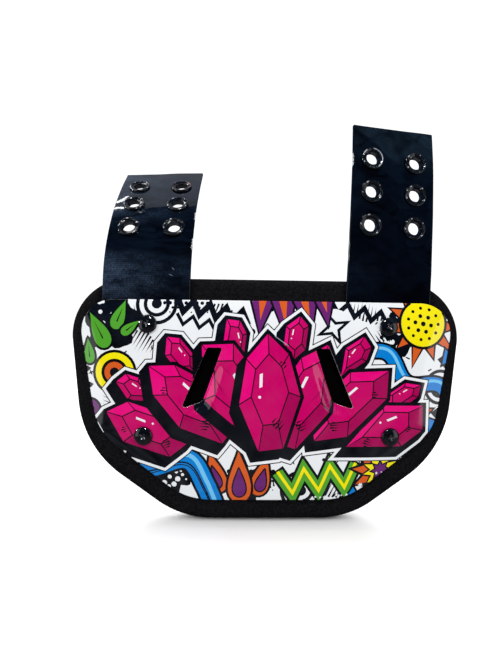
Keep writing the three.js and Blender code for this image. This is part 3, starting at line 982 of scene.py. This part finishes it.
# Sun: base of each ray, the tips' reaches that take turns, and the rings of dots as radius and count
SUN_CENTRE = (112, 58)
SUN_RADIUS = 16.5
SUN_RAYS = 11
RAY_TURN = 33
RAY_BASE = [(-3.8, 16), (3.8, 16)]
RAY_TIPS = (26, 32)
SUN_DOTS = [(0, 1), (6, 6), (11.5, 11)]
# Ribbons: start, end, depth and turns of the wave, and the stripes. The first one runs off the plate
RIBBON = ((-126, -22), (-14, -66), 18, 2.1)
RIBBON_POINTS = 33
RIBBON_END = (-35, -80)
RIBBON_STRIPES = [
    ("ink", 0, 0, 17), ("blue", 0, 0, 13.4), ("sky", 0.8, 3, 3),
    ("ink", -0.5, -2.6, 1.1), ("ink", -0.8, -4.4, 0.7),
]
CURL = ((72, 38), (138, 0), 11, 1.6)
CURL_STRIPES = [("ink", 0, 0, 13), ("blue", 0, 0, 9.6), ("sky", 0.8, 2, 2.2)]
# Lower zigzag: start, end, depth and count, border as width and reach past the ends, and stripes
LOWER_ZIGZAG = ((8, -57), (64, -51), 17, 6)
ZIGZAG_BORDER = (11.5, 1.8)
ZIGZAG_STRIPES = [("green", 0, 0, 7.8), ("yellow", 0, 0.6, 2.2)]
TARGETS = [
    (-109, 21, (16, 14, 9.6, 7.4, 3.4), ("ink", "yellow", "ink", "orange", "ink")),
    (-127, -6, (9, 7.2, 3.4), ("ink", "purple", "ink")),
]
# Bursts: ink, place, outer and inner radius, points, degrees and line
BURSTS = [
    ("orange", 82, -48, 21, 12, 11, 12, 2.0), ("yellow", 82, -48, 13, 7.5, 11, 28, 1.3),
    ("purple", 82, -48, 6.5, 3.8, 8, 5, 1.0), ("orange", 112, -7, 9, 3.6, 4, 20, 1.5),
]


def leaves():
    for x, z, size, degrees in LEAVES:
        yield from outlined("green", drop(x, z, size, degrees), 1.7)
        vein = [(-0.5, -size * 0.5), (0.5, -size * 0.5), (0, size * 0.55)]
        yield "ink", turned(vein, degrees, x, z)


def spikes():
    for x, half, tip, lean in SPIKES:
        outside = [(x - half, SPIKE_TOP), (x + lean, tip), (x + half, SPIKE_TOP)]
        inside = [(x - half * 0.4, SPIKE_TOP), (x + lean * 0.8, tip + 9), (x + half * 0.35, SPIKE_TOP)]
        yield from outlined("purple", outside, 1.8)
        yield "orange", inside


def sun():
    for k in range(SUN_RAYS):
        ray = [*RAY_BASE, (0, RAY_TIPS[k % len(RAY_TIPS)])]
        yield from outlined("orange", turned(ray, RAY_TURN * k, *SUN_CENTRE))
    yield from outlined("yellow", disc(*SUN_CENTRE, SUN_RADIUS, 36), 2)
    for ring, (radius, count) in enumerate(SUN_DOTS):
        for k in range(count):
            spot = turned([(0, radius)], 360 * k / count + 20 * ring, *SUN_CENTRE)[0]
            yield "ink", disc(*spot, 1.8 - 0.3 * ring)


def flames():
    for x, z, size, degrees in FLAMES:
        yield from outlined("orange", drop(x, z, size, degrees), 1.7)
        yield from outlined("purple", drop(x, z - 0.22 * size, 0.55 * size, degrees), 1.0)


def accents():
    yield from [*leaves(), *spikes(), *sun(), *flames()]
    ribbon = wave(*RIBBON)[:RIBBON_POINTS]
    yield from striped(np.vstack((ribbon, RIBBON_END)), RIBBON_STRIPES)
    for x, z, radii, inks in TARGETS:
        yield from target(x, z, radii, inks)
    yield from striped(wave(*CURL), CURL_STRIPES)
    lower = zigzag(*LOWER_ZIGZAG)
    yield "ink", stroke(lower, *ZIGZAG_BORDER)
    yield from striped(lower, ZIGZAG_STRIPES)
    for name, x, z, outer, inner, points, degrees, line in BURSTS:
        yield from outlined(name, star(x, z, outer, inner, points, degrees), line)
    for x, z, size, degrees in TRIANGLES:
        corners = [(-size, -size * 0.6), (size, -size * 0.6), (0, size)]
        yield from outlined("blue", turned(corners, degrees, x, z))


# Wear of the print: chips along the lower rim as across, up and count, and one light scratch
CHIP_SEED = 5
CHIPS = [(96, -41, 3), (84, -49.5, 4), (70, -59.5, 5), (55, -66, 5), (38, -68, 4), (-100, -37, 3)]
CHIP_ACROSS = (-5, 5)
CHIP_UP = (-1.2, 1.2)
CHIP_SIZE = (0.5, 1.3)
SCRATCH = [(4, 48.2), (13.8, 41.4), (13.5, 40.9), (3.7, 47.8)]


def worn_flecks():
    draw = random.Random(CHIP_SEED)
    for x, z, count in CHIPS:
        for _ in range(count):
            place = (x + draw.uniform(*CHIP_ACROSS), z + draw.uniform(*CHIP_UP))
            size = draw.uniform(*CHIP_SIZE)
            yield "white", star(*place, size * 1.7, size * 0.8, 4, draw.uniform(0, 90))
    yield "grey", SCRATCH


def plate_art():
    art = [*crumbs(), *doodles(), *accents()]
    bodies = [stone_body(stone) for stone in STONES]
    art += [("ink", grown(body, STONE_LINES["rim"])) for body in bodies]
    art += [("white", grown(body, STONE_LINES["keyline"])) for body in bodies]
    for stone, body in zip(STONES, bodies):
        art.append(("ink", grown(body, STONE_LINES["block"])))
        art += stone_faces(stone)
    return [*art, *worn_flecks()]


# Foam pad: steps of the mesh along the outline and inside, and the box of the inner points
PAD_STEP = 2.4
PAD_GRID = 3.2
PAD_BOX = ((-145, -88), (145, 91))
PAD_CREASE = 60
# Rise of the plate's crown where the painted shade on the foam under it starts, and where it is full
COVER_REACH = (0.8, 2.5)
# Bed under each strap: room beside and below it, extra depth, and slope of its walls
BED_ROOM = 1
BED_SLACK = 0.15
BED_WALL = 0.9
POCKET_DEPTH = DISC_SINK + DISC_THICKNESS + GAP
POCKET_RADIUS = RIVET_DISC + GAP
POCKET_WALL = 0.25
POCKET_SIDES = 40
POCKET_ROOM = 2.5


def strap_bed(x, z, strap):
    """Greatest reach of the pad's front under a strap, with soft walls beside it."""
    across = x - strap.across
    from_middle = across * math.cos(strap.lean) - (z - PLATE_TOP) * math.sin(strap.lean)
    beside = np.maximum(np.abs(from_middle) - STRAP_WIDTH / 2 - BED_ROOM, 0)
    below = np.maximum(PLATE_TOP - STRAP_TUCK - BED_ROOM - z, 0)
    bottom = pad_front(strap.across) - STRAP_SINK - STRAP_THICKNESS - GAP + strap.slope * across
    return bottom - BED_SLACK + BED_WALL * np.hypot(beside, below)


def foam_place(x, z, share):
    """Points of the pad, with beds for the straps and pockets in its back for the rivets' discs."""
    reach = pad_front(x) * (1 - share)
    for strap in STRAPS:
        reach = np.minimum(reach, strap_bed(x, z, strap))
    for across, up in rivet_centres():
        in_pocket = np.hypot(x - across, z - up) < POCKET_RADIUS + POCKET_WALL / 2
        reach = reach + POCKET_DEPTH * in_pocket * (share == 1)
    return np.column_stack((x, -reach, z))


def foam_edge():
    """Edge rows from the pad's profile, each normal square to the profile."""
    rows = []
    for k in range(1, len(PAD_EDGE)):
        inset, thickness_share = PAD_EDGE[k]
        before = PAD_EDGE[k - 1]
        after = PAD_EDGE[min(k + 1, len(PAD_EDGE) - 1)]
        outward = before[0] - after[0]
        down = (before[1] - after[1]) * PAD_RIM
        rows.append((PAD_EDGE[0][0] - inset, 1 - thickness_share, math.degrees(math.atan2(down, outward))))
    return rows


def foam_pad():
    outline, normals = rounded_loop(mirrored(PAD_CORNERS), PAD_STEP)
    inset = outline - normals * PAD_EDGE[0][0]
    points = grid_points(*PAD_BOX, PAD_GRID)
    rings = []
    for centre in rivet_centres():
        points = points[np.linalg.norm(points - centre, axis=1) > RIVET_DISC + POCKET_ROOM]
        for radius in (POCKET_RADIUS, POCKET_RADIUS + POCKET_WALL):
            rings.append(ring_loop(*centre, radius, POCKET_SIDES)[0])
    slab = Slab([(inset, normals)], np.vstack([points, *rings]), foam_place, foam_edge())
    piece = mesh_object("foam_slab", slab.points, slab.faces, [foam_finish()])
    faces_plate = slab.points[:, 1] < -PAD_RIM / 2
    painted_shade_under_plate = smooth(plate_crown(*slab.flat.T), *COVER_REACH) * faces_plate
    keep_values(piece.data, "painted_shade_under_plate", "FLOAT", "POINT", painted_shade_under_plate)
    piece.data.set_sharp_from_angle(angle=math.radians(PAD_CREASE))
    fit(piece, "foam_pad")


# Printed plate: rounding of its edges, steps of the mesh, and boxes of the inner points, finer at the slots
PLATE_ROUND = 0.7
PLATE_STEP = 1.6
SLOT_STEP = 0.8
RIVET_HOLE_SIDES = 24
PLATE_GRIDS = [((-136, -72), (136, 75), 3.1), ((-68, -14), (-20, 50), 1.3), ((20, -14), (68, 50), 1.3)]


def plate_place(x, z, share):
    return np.column_stack((x, share * PLATE_THICKNESS - plate_front(x, z), z))


def printed_plate():
    outline, normals = rounded_loop(mirrored(PLATE_CORNERS), PLATE_STEP)
    loops = [(outline - normals * PLATE_ROUND, normals)]
    for way in SIDES.values():
        corners = [(way * across, up, fillet) for across, up, fillet in SLOT_CORNERS]
        slot, slot_normals = rounded_loop(corners[::-way], SLOT_STEP)
        loops.append((slot + slot_normals * PLATE_ROUND, slot_normals))
        for _, across, up in RIVETS:
            loops.append(ring_loop(way * across, up, RIVET_SHANK + GAP + PLATE_ROUND, RIVET_HOLE_SIDES))
    points = [grid_points(low, high, spacing) for low, high, spacing in PLATE_GRIDS]
    art = plate_art()
    edge = round_edge(PLATE_ROUND, PLATE_THICKNESS)
    slab = Slab(loops, np.vstack(points), plate_place, edge, art)
    inks = [INKS[name] for name, _ in art] + [INKS["white"]]
    core = [int(band > EDGE_STEPS) for band in slab.band]
    finishes = [print_finish(), core_finish()]
    piece = mesh_object("printed_plate", slab.points, slab.faces, finishes, core, slab.normals)
    paint_faces(piece.data, "ink", [inks[slab.uppermost[n]] for n in slab.source])
    fit(piece, "shell_plate")


# Straps: stretches of the edge rubbed through to the fibre, as strap, side of it, start and end along it
NICKS = [("left", 1, 65, 71.5), ("left", 1, 40.5, 47), ("right", -1, 98.5, 108)]
# Band of the rounded edge from which a stretch is rubbed through, and the waves that make it ragged
RUBBED_BAND = 1.7
RAGGED_WAVES = (5.1, 2.3)
# How far the left and right corners of each loose end stand off a square cut
END_CUTS = {"left": (-3.2, 0), "right": (-1.3, 0)}
# Scratches in the left strap's coating: place, half length and half width, and degrees
SCRATCHES = [((19, 22.5), (1.8, 0.4), -45), ((17.5, 18), (2.3, 0.4), -22)]
STRAP_ROUND = 0.7
STRAP_CORNER = 0.9
STRAP_STEP = 0.7
STRAP_GRID = 2.6
HOLE_SIDES = 40
HOLE_ROOM = 0.25
HOLE_RINGS = (7.4, 8.6, 9.8, 11.2)


def in_nick(side, u, v):
    edge = STRAP_WIDTH / 2 - STRAP_ROUND
    return any(side == strap and u * way > edge and start < v < end for strap, way, start, end in NICKS)


def strap_piece(strap, finishes):
    half = STRAP_WIDTH / 2
    low, high = END_CUTS[strap.side]
    tucked = [(-half, -STRAP_TUCK), (half, -STRAP_TUCK)]
    loose = [(half, STRAP_LENGTH + high), (-half, STRAP_LENGTH + low)]
    outline, normals = rounded_loop([(*end, STRAP_CORNER) for end in tucked + loose], STRAP_STEP)
    loops = [(outline - normals * STRAP_ROUND, normals)]
    points = [grid_points(tucked[0], (half, STRAP_LENGTH), STRAP_GRID)]
    for place in strap.eyelets():
        loops.append(ring_loop(*place, EYELET_BARREL + HOLE_ROOM + STRAP_ROUND, HOLE_SIDES))
        points += [ring_loop(*place, radius, HOLE_SIDES)[0] for radius in HOLE_RINGS]
    edge = round_edge(STRAP_ROUND, STRAP_THICKNESS)
    slab = Slab(loops, np.vstack(points), strap.place, edge)
    mark_share = []
    for face, band in zip(slab.faces, slab.band):
        u, v = slab.flat[list(face)].mean(axis=0)
        ragged = RUBBED_BAND + sum(math.sin(turn * v) for turn in RAGGED_WAVES)
        mark_share.append(int(ragged < band <= len(edge) and in_nick(strap.side, u, v)))
    name = f"{strap.side}_strap"
    piece = mesh_object(name, slab.points, slab.faces, finishes, mark_share, slab.normals, slab.flat)
    fit(piece, f"strap_{strap.side}")


# Eyelets: a rolled rim round a funnel that runs into the bore
EYELET_SIDES = 72
EYELET_CREASE = 50
EYELET_ROLL = 0.9
ROLL_DEGREES = range(160, -1, -16)
FUNNEL_DEPTH = 0.35
FUNNEL_STEPS = 7
FUNNEL_POWER = 1.4
# Dents in the rim: how many, how narrow, their turn from eyelet to eyelet, width and depth
DENTS = 8
DENT_POWER = 10
DENT_TURN = 0.9
DENT_WIDTH = 0.12
DENT_DEPTH = 0.25
# Marks on the rims in the metal's colour, partly wear and partly painted highlight: middle of each stretch
# in degrees from the right, and its half width
# Painted highlights: specks at the same places round every eyelet, turned a little from one eyelet to the
# next
PAINTED_GLINT_SPECKS = [(98, 9), (172, 7), (304, 8), (20, 5)]
PAINTED_GLINT_SHIFT = 7
# Longer stretches on single eyelets, partly rubbed wear and partly painted highlight
RUBBED_AND_PAINTED_GLINTS = {("right", 5): [(10, 100), (150, 16)], ("left", 6): [(38, 46)], ("left", 5): [(195, 36)]}
# Painted reflection: a faint base all round each crest, which the noise breaks into thin light lines
PAINTED_CREST_SHEEN = 0.62
WEAR_AND_GLINT_FADE = (0.6, 1.1)
WEAR_AND_GLINT_CREST = (0.5, 0.9)
BRASSY_EYELET = ("left", 6)


def eyelet_profile():
    """Closed profile of radius, height over the strap's middle, and how far dents reach at each point."""
    rows = []
    crest = EYELET_SEAT + EYELET_CREST
    roll_at = EYELET_FLANGE - EYELET_ROLL
    for degrees in ROLL_DEGREES:
        angle = math.radians(degrees)
        height = crest - EYELET_ROLL * (1 - math.sin(angle))
        rows.append((roll_at + EYELET_ROLL * math.cos(angle), height, math.sin(angle) ** 2))
    funnel_top, funnel_height, _ = rows[0]
    funnel = []
    for k in range(FUNNEL_STEPS):
        share = k / FUNNEL_STEPS
        height = funnel_height - FUNNEL_DEPTH * (1 - share ** FUNNEL_POWER)
        funnel.append((EYELET_HOLE + (funnel_top - EYELET_HOLE) * share, height, 0.5 * share))
    back = -EYELET_SEAT - EYELET_BACK
    return funnel + rows + [
        (EYELET_FLANGE - 0.2, EYELET_SEAT - 0.02, 0), (EYELET_BARREL, EYELET_SEAT - 0.05, 0),
        (EYELET_BARREL, -EYELET_SEAT, 0), (EYELET_FLANGE - 0.15, -EYELET_SEAT, 0),
        (EYELET_FLANGE, -EYELET_SEAT - 0.2, 0), (EYELET_FLANGE, back + 0.2, 0),
        (EYELET_FLANGE - 0.2, back, 0), (EYELET_HOLE + 0.25, back, 0), (EYELET_HOLE, back + 0.25, 0),
    ]


def eyelet_piece(strap, number, place, finish):
    """Ring whose rolled front has small dents from the setting tool."""
    u, along = place
    middle, sideways, front = strap.frame_at(np.array(along))
    upward = np.cross(front, sideways)
    angles = angles_round(EYELET_SIDES)
    dents = np.maximum(np.cos(DENTS * angles + DENT_TURN * number), 0) ** DENT_POWER
    profile = eyelet_profile()
    points = []
    for radius, height, reach in profile:
        radii = radius + DENT_WIDTH * reach * dents
        heights = height - DENT_DEPTH * reach * dents
        ring = sideways * (radii * np.cos(angles))[:, None] + upward * (radii * np.sin(angles))[:, None]
        points.append(middle + sideways * u + ring + front * heights[:, None])
    # Painted highlights and painted reflection, with some wear, in the metal's colour along each rim's
    # crest
    mark_share = np.full(EYELET_SIDES, PAINTED_CREST_SHEEN)
    painted_glint_specks = [(angle + PAINTED_GLINT_SHIFT * number, span) for angle, span in PAINTED_GLINT_SPECKS]
    for angle, span in painted_glint_specks + RUBBED_AND_PAINTED_GLINTS.get((strap.side, number), []):
        away = np.abs((np.degrees(angles) - angle + 180) % 360 - 180)
        mark_share = np.maximum(mark_share, 1 - smooth(away / span, *WEAR_AND_GLINT_FADE))
    rubbed_and_glints = [mark_share * smooth(reach, *WEAR_AND_GLINT_CREST) for _, _, reach in profile]
    faces = lathe_faces(len(profile), EYELET_SIDES, closed=True)
    piece = mesh_object(f"{strap.side}_eyelet_{number}", np.vstack(points), faces, [finish])
    keep_values(piece.data, "rubbed_and_glints", "FLOAT", "POINT", rubbed_and_glints)
    piece.data.set_sharp_from_angle(angle=math.radians(EYELET_CREASE))
    fit(piece, f"eyelet_{strap.side}_{number}")


# Rivets, with a cross recess turned by level and side
RIVET_SIDES = 96
RIVET_CREASE = 40
# Rows of the head over the recess and outside it, and the small chamfers of head and disc
RECESS_ROWS = 26
DOME_ROWS = 12
FIRST_RADIUS = 0.1
RECESS_MARGIN = 0.3
CHAMFER = 0.3
DISC_CHAMFER = 0.2
RECESS_ARM = 2.5
RECESS_HALF = 0.62
RECESS_EDGE = 0.12
RECESS_DEPTH = 1.7
RECESS_FROM = 0.1
RECESS_TURNS = {"upper": 10, "lower": -15}
SIDE_TURN = 24
SLOPE_REACH = 2.0


def recess(x, z):
    """Share of the cross recess's depth, deepest in the middle."""
    def arm(along, across):
        slope = np.clip(1 - np.abs(along) / RECESS_ARM, 0, 1)
        return slope * (1 - smooth(np.abs(across), RECESS_HALF - RECESS_EDGE, RECESS_HALF + RECESS_EDGE))
    return np.maximum(arm(x, z), arm(z, x))


def head_rows():
    """Profile of the head as radius and height over the plate, close-set where the recess is."""
    inner = np.linspace(FIRST_RADIUS, RECESS_ARM + RECESS_MARGIN, RECESS_ROWS)
    start = math.asin(inner[-1] / RIVET_HEAD)
    outer = RIVET_HEAD * np.sin(np.linspace(start, math.pi / 2, DOME_ROWS))[1:]
    rows = [(RIVET_HEAD - CHAMFER, 0.0), (RIVET_HEAD, CHAMFER)]
    for radius in np.concatenate((inner, outer))[::-1]:
        share = math.sqrt(max(1 - (radius / RIVET_HEAD) ** 2, 0))
        rows.append((radius, RIVET_RIM + (RIVET_DOME - RIVET_RIM) * share))
    return rows


def shank_rows(end):
    """Profile of the end disc and the shank as radius and height over the pad's back."""
    top = DISC_SINK + DISC_THICKNESS
    return [
        (RIVET_DISC - CHAMFER, DISC_SINK), (RIVET_DISC, DISC_SINK + CHAMFER),
        (RIVET_DISC, top - DISC_CHAMFER), (RIVET_DISC - DISC_CHAMFER, top),
        (RIVET_SHANK, top), (RIVET_SHANK, end),
    ]


def rivet_piece(level, side, across, up, finishes):
    x = across * SIDES[side]
    slope_x = plate_front(x + SLOPE_REACH, up) - plate_front(x - SLOPE_REACH, up)
    slope_z = plate_front(x, up + SLOPE_REACH) - plate_front(x, up - SLOPE_REACH)
    axis = Vector((-slope_x, -2 * SLOPE_REACH, -slope_z)).normalized()
    rotation = np.array(Vector((0, -1, 0)).rotation_difference(axis).to_matrix())
    seat = np.array((x, -plate_front(x, up), up))
    circle = directions(angles_round(RIVET_SIDES))
    turn = math.radians(SIDE_TURN * SIDES[side] + RECESS_TURNS[level])
    points = []
    sunk = []
    head = head_rows()
    for radius, height in head:
        flat_x, flat_z = (circle * radius).T
        along = flat_x * math.cos(turn) + flat_z * math.sin(turn)
        share = recess(along, flat_z * math.cos(turn) - flat_x * math.sin(turn))
        local = np.column_stack((flat_x, -(height + GAP - RECESS_DEPTH * share), flat_z))
        points.append(seat + local @ rotation.T)
        sunk.append(share)
    sunk = np.concatenate(sunk)
    faces = lathe_faces(len(head), RIVET_SIDES)
    finish_of_face = [int(np.mean(sunk[list(face)]) > RECESS_FROM) for face in faces]
    shank = shank_rows(plate_front(x, up) + RIVET_RIM)
    for radius, height in shank:
        flat_x, flat_z = (circle * radius).T
        points.append(np.column_stack((x + flat_x, np.full(RIVET_SIDES, -height), up + flat_z)))
    shank_faces = lathe_faces(len(shank), RIVET_SIDES, len(head) * RIVET_SIDES)
    finish_of_face += [0] * len(shank_faces)
    name = f"{level}_{side}_rivet"
    piece = mesh_object(name, np.vstack(points), faces + shank_faces, finishes, finish_of_face)
    piece.data.set_sharp_from_angle(angle=math.radians(RIVET_CREASE))
    fit(piece, f"rivet_{level}_{side}")


# Floor: a wide disc just under the part
FLOOR_SIDES = 64
FLOOR_RADIUS = 6000
FLOOR_DROP = 0.2
# Light from the room: strength below and above, and the heights of directions between which it changes
LIGHT_BELOW = 0.42
LIGHT_ABOVE = 1.12
LIGHT_CHANGE = (-0.45, -0.05)
# What gloss mirrors of the room: colours by height, a glow to one side, and clutter in its strength
ROOM_STOPS = [(-0.45, (0.2, 0.21, 0.24, 1)), (-0.05, (0.01, 0.013, 0.03, 1)), (0.3, (0.024, 0.06, 0.14, 1))]
GLOW_WAY = (0.532, -0.447, 0.719)
GLOW_REACH = (0.94, 0.992)
GLOW_COLOUR = (0.11, 0.23, 0.39, 1)
CLUTTER_SCALE = 12
CLUTTER_SEED = 3.0
CLUTTER_SPAN = (0.35, 0.65)
CLUTTER_LEVELS = (0.15, 2.0)
# Suns, which gloss doesn't mirror: name, power, place and spread in degrees
SUNS = [("key", 0.8, (-0.4, -1.5, 1.1), 24), ("fill", 2.0, (0.5, 1.2, 0.9), 40)]
# Panels: name, power, place, aim, whether they light dull surfaces or are only mirrored, width and height
PART_MIDDLE = (0, 0, 0.1)
PANELS = [
    ("ceiling", 3.0, (0, 0.575, 1.3), (0, 0.575, 0), True, 2.4, 1.0),
    ("tube", 1.7, (-0.73, 0.033, 1.28), (-0.73, 0.033, 0), True, 0.64, 0.04),
    ("tube", 1.7, (-0.715, 0.2, 1.28), (-0.715, 0.2, 0), True, 0.64, 0.04),
    ("window", 1.8, (-0.85, -0.5, 0.1), PART_MIDDLE, False, 0.5, 0.8),
    ("window", 1.8, (0.85, -0.5, 0.1), PART_MIDDLE, False, 0.5, 0.8),
]
# Small round lamps that are only mirrored: power, place and size
GLINTS = [(5, (-1.2, -0.2, 0.4), 0.07), (10, (-0.05, -0.85, 1.05), 0.1)]


def floor():
    level = CAD_BOX[0].z / MILLIMETRE - FLOOR_DROP
    points = [(x, y, level) for x, y in directions(angles_round(FLOOR_SIDES)) * FLOOR_RADIUS]
    piece = mesh_object("studio_floor", points, [tuple(range(FLOOR_SIDES))], [floor_finish()])
    piece.visible_diffuse = False
    piece.visible_glossy = False


def lamp(name, kind, power, place, aim, lit=True, mirrored_in=True, **settings):
    """Lamp aimed at a point, that lights dull surfaces, is mirrored in glossy ones, or both."""
    data = bpy.data.lights.new(name, kind)
    data.energy = power
    for setting, value in settings.items():
        setattr(data, setting, value)
    holder = bpy.data.objects.new(name, data)
    holder.location = place
    holder.rotation_euler = (Vector(aim) - Vector(place)).to_track_quat("-Z", "Y").to_euler()
    holder.visible_diffuse = lit
    holder.visible_glossy = mirrored_in
    bpy.context.scene.collection.objects.link(holder)


def room():
    """White light from above and less from below, while gloss mirrors a dim room that is paler below."""
    world = bpy.data.worlds.new("studio")
    world.use_nodes = True
    bpy.context.scene.world = world
    nodes = Nodes(world.node_tree)
    way = nodes.add("TexCoord").outputs["Generated"]
    up = nodes.add("SeparateXYZ", {"Vector": way}).outputs["Z"]
    white = nodes.tree.nodes["Background"]
    strength = nodes.ramp(up, *LIGHT_CHANGE, LIGHT_BELOW, LIGHT_ABOVE)
    nodes.plug(white, {"Color": (1, 1, 1, 1), "Strength": strength})
    shade = nodes.add("ValToRGB", {"Fac": nodes.ramp(up, -1, 1)})
    stops = shade.color_ramp.elements
    stops.new(0.5)
    for stop, (level, colour) in zip(stops, ROOM_STOPS):
        stop.position = (level + 1) / 2
        stop.color = colour
    toward = nodes.add("VectorMath", {0: way, 1: GLOW_WAY}, operation="DOT_PRODUCT").outputs["Value"]
    glow = nodes.ramp(toward, *GLOW_REACH, interpolation_type="SMOOTHSTEP")
    colour = nodes.blend(glow, shade.outputs["Color"], GLOW_COLOUR)
    place = {"Vector": way, "Scale": CLUTTER_SCALE, "W": CLUTTER_SEED}
    clutter = nodes.add("TexNoise", place, noise_dimensions="4D").outputs["Fac"]
    strength = nodes.ramp(clutter, *CLUTTER_SPAN, *CLUTTER_LEVELS)
    dim = nodes.add("Background", {"Color": colour, "Strength": strength})
    glossy = nodes.add("LightPath").outputs["Is Glossy Ray"]
    mix = nodes.add("MixShader", {0: glossy, 1: white.outputs[0], 2: dim.outputs[0]})
    nodes.plug(nodes.tree.nodes["World Output"], {"Surface": mix.outputs[0]})


def studio():
    bpy.context.scene.view_settings.view_transform = "Standard"
    room()
    for name, power, place, spread in SUNS:
        lamp(name, "SUN", power, place, (0, 0, 0), mirrored_in=False, angle=math.radians(spread))
    for name, power, place, aim, lit, width, height in PANELS:
        lamp(name, "AREA", power, place, aim, lit, shape="RECTANGLE", size=width, size_y=height)
    for power, place, size in GLINTS:
        lamp("glint", "AREA", power, place, PART_MIDDLE, False, shape="DISK", size=size)


# Camera, fitted to the photograph: place in metres, axes, and focal length in pixels of a frame 659 high
CAMERA_PLACE = (-0.02782, -0.37676, 0.05252)
CAMERA_RIGHT = (0.99933, -0.03445, 0.01260)
CAMERA_UP = (-0.01258, 0.00086, 0.99992)
CAMERA_FOCAL = 495
FRAME_HEIGHT = 659
SENSOR = 36
NEAREST = 0.01


def camera():
    data = bpy.data.cameras.new("camera")
    data.sensor_width = SENSOR
    data.lens = SENSOR * CAMERA_FOCAL / FRAME_HEIGHT
    data.clip_start = NEAREST
    right = Vector(CAMERA_RIGHT).normalized()
    up = Vector(CAMERA_UP).normalized()
    axes = Matrix((right, up, right.cross(up))).transposed()
    eye = bpy.data.objects.new("camera", data)
    eye.matrix_world = Matrix.Translation(CAMERA_PLACE) @ axes.to_4x4()
    bpy.context.scene.collection.objects.link(eye)
    bpy.context.scene.camera = eye


def main():
    camera()
    studio()
    floor()
    foam_pad()
    printed_plate()
    fibre = fibre_finish()
    coatings = {
        "left": vinyl_finish("worn_vinyl", 0.9, SCRATCHES),
        "right": vinyl_finish("smooth_vinyl", 0.08),
    }
    enamel = enamel_finish("eyelet_enamel", (196, 198, 204))
    brassy = enamel_finish("eyelet_brassy", (140, 98, 78))
    rivet_finishes = [enamel_finish("rivet_enamel", (90, 90, 94)), recess_finish()]
    for strap in STRAPS:
        strap_piece(strap, [coatings[strap.side], fibre])
        for number, place in enumerate(strap.eyelets(), 1):
            finish = brassy if (strap.side, number) == BRASSY_EYELET else enamel
            eyelet_piece(strap, number, place, finish)
    for level, across, up in RIVETS:
        for side in SIDES:
            rivet_piece(level, side, across, up, rivet_finishes)


main()
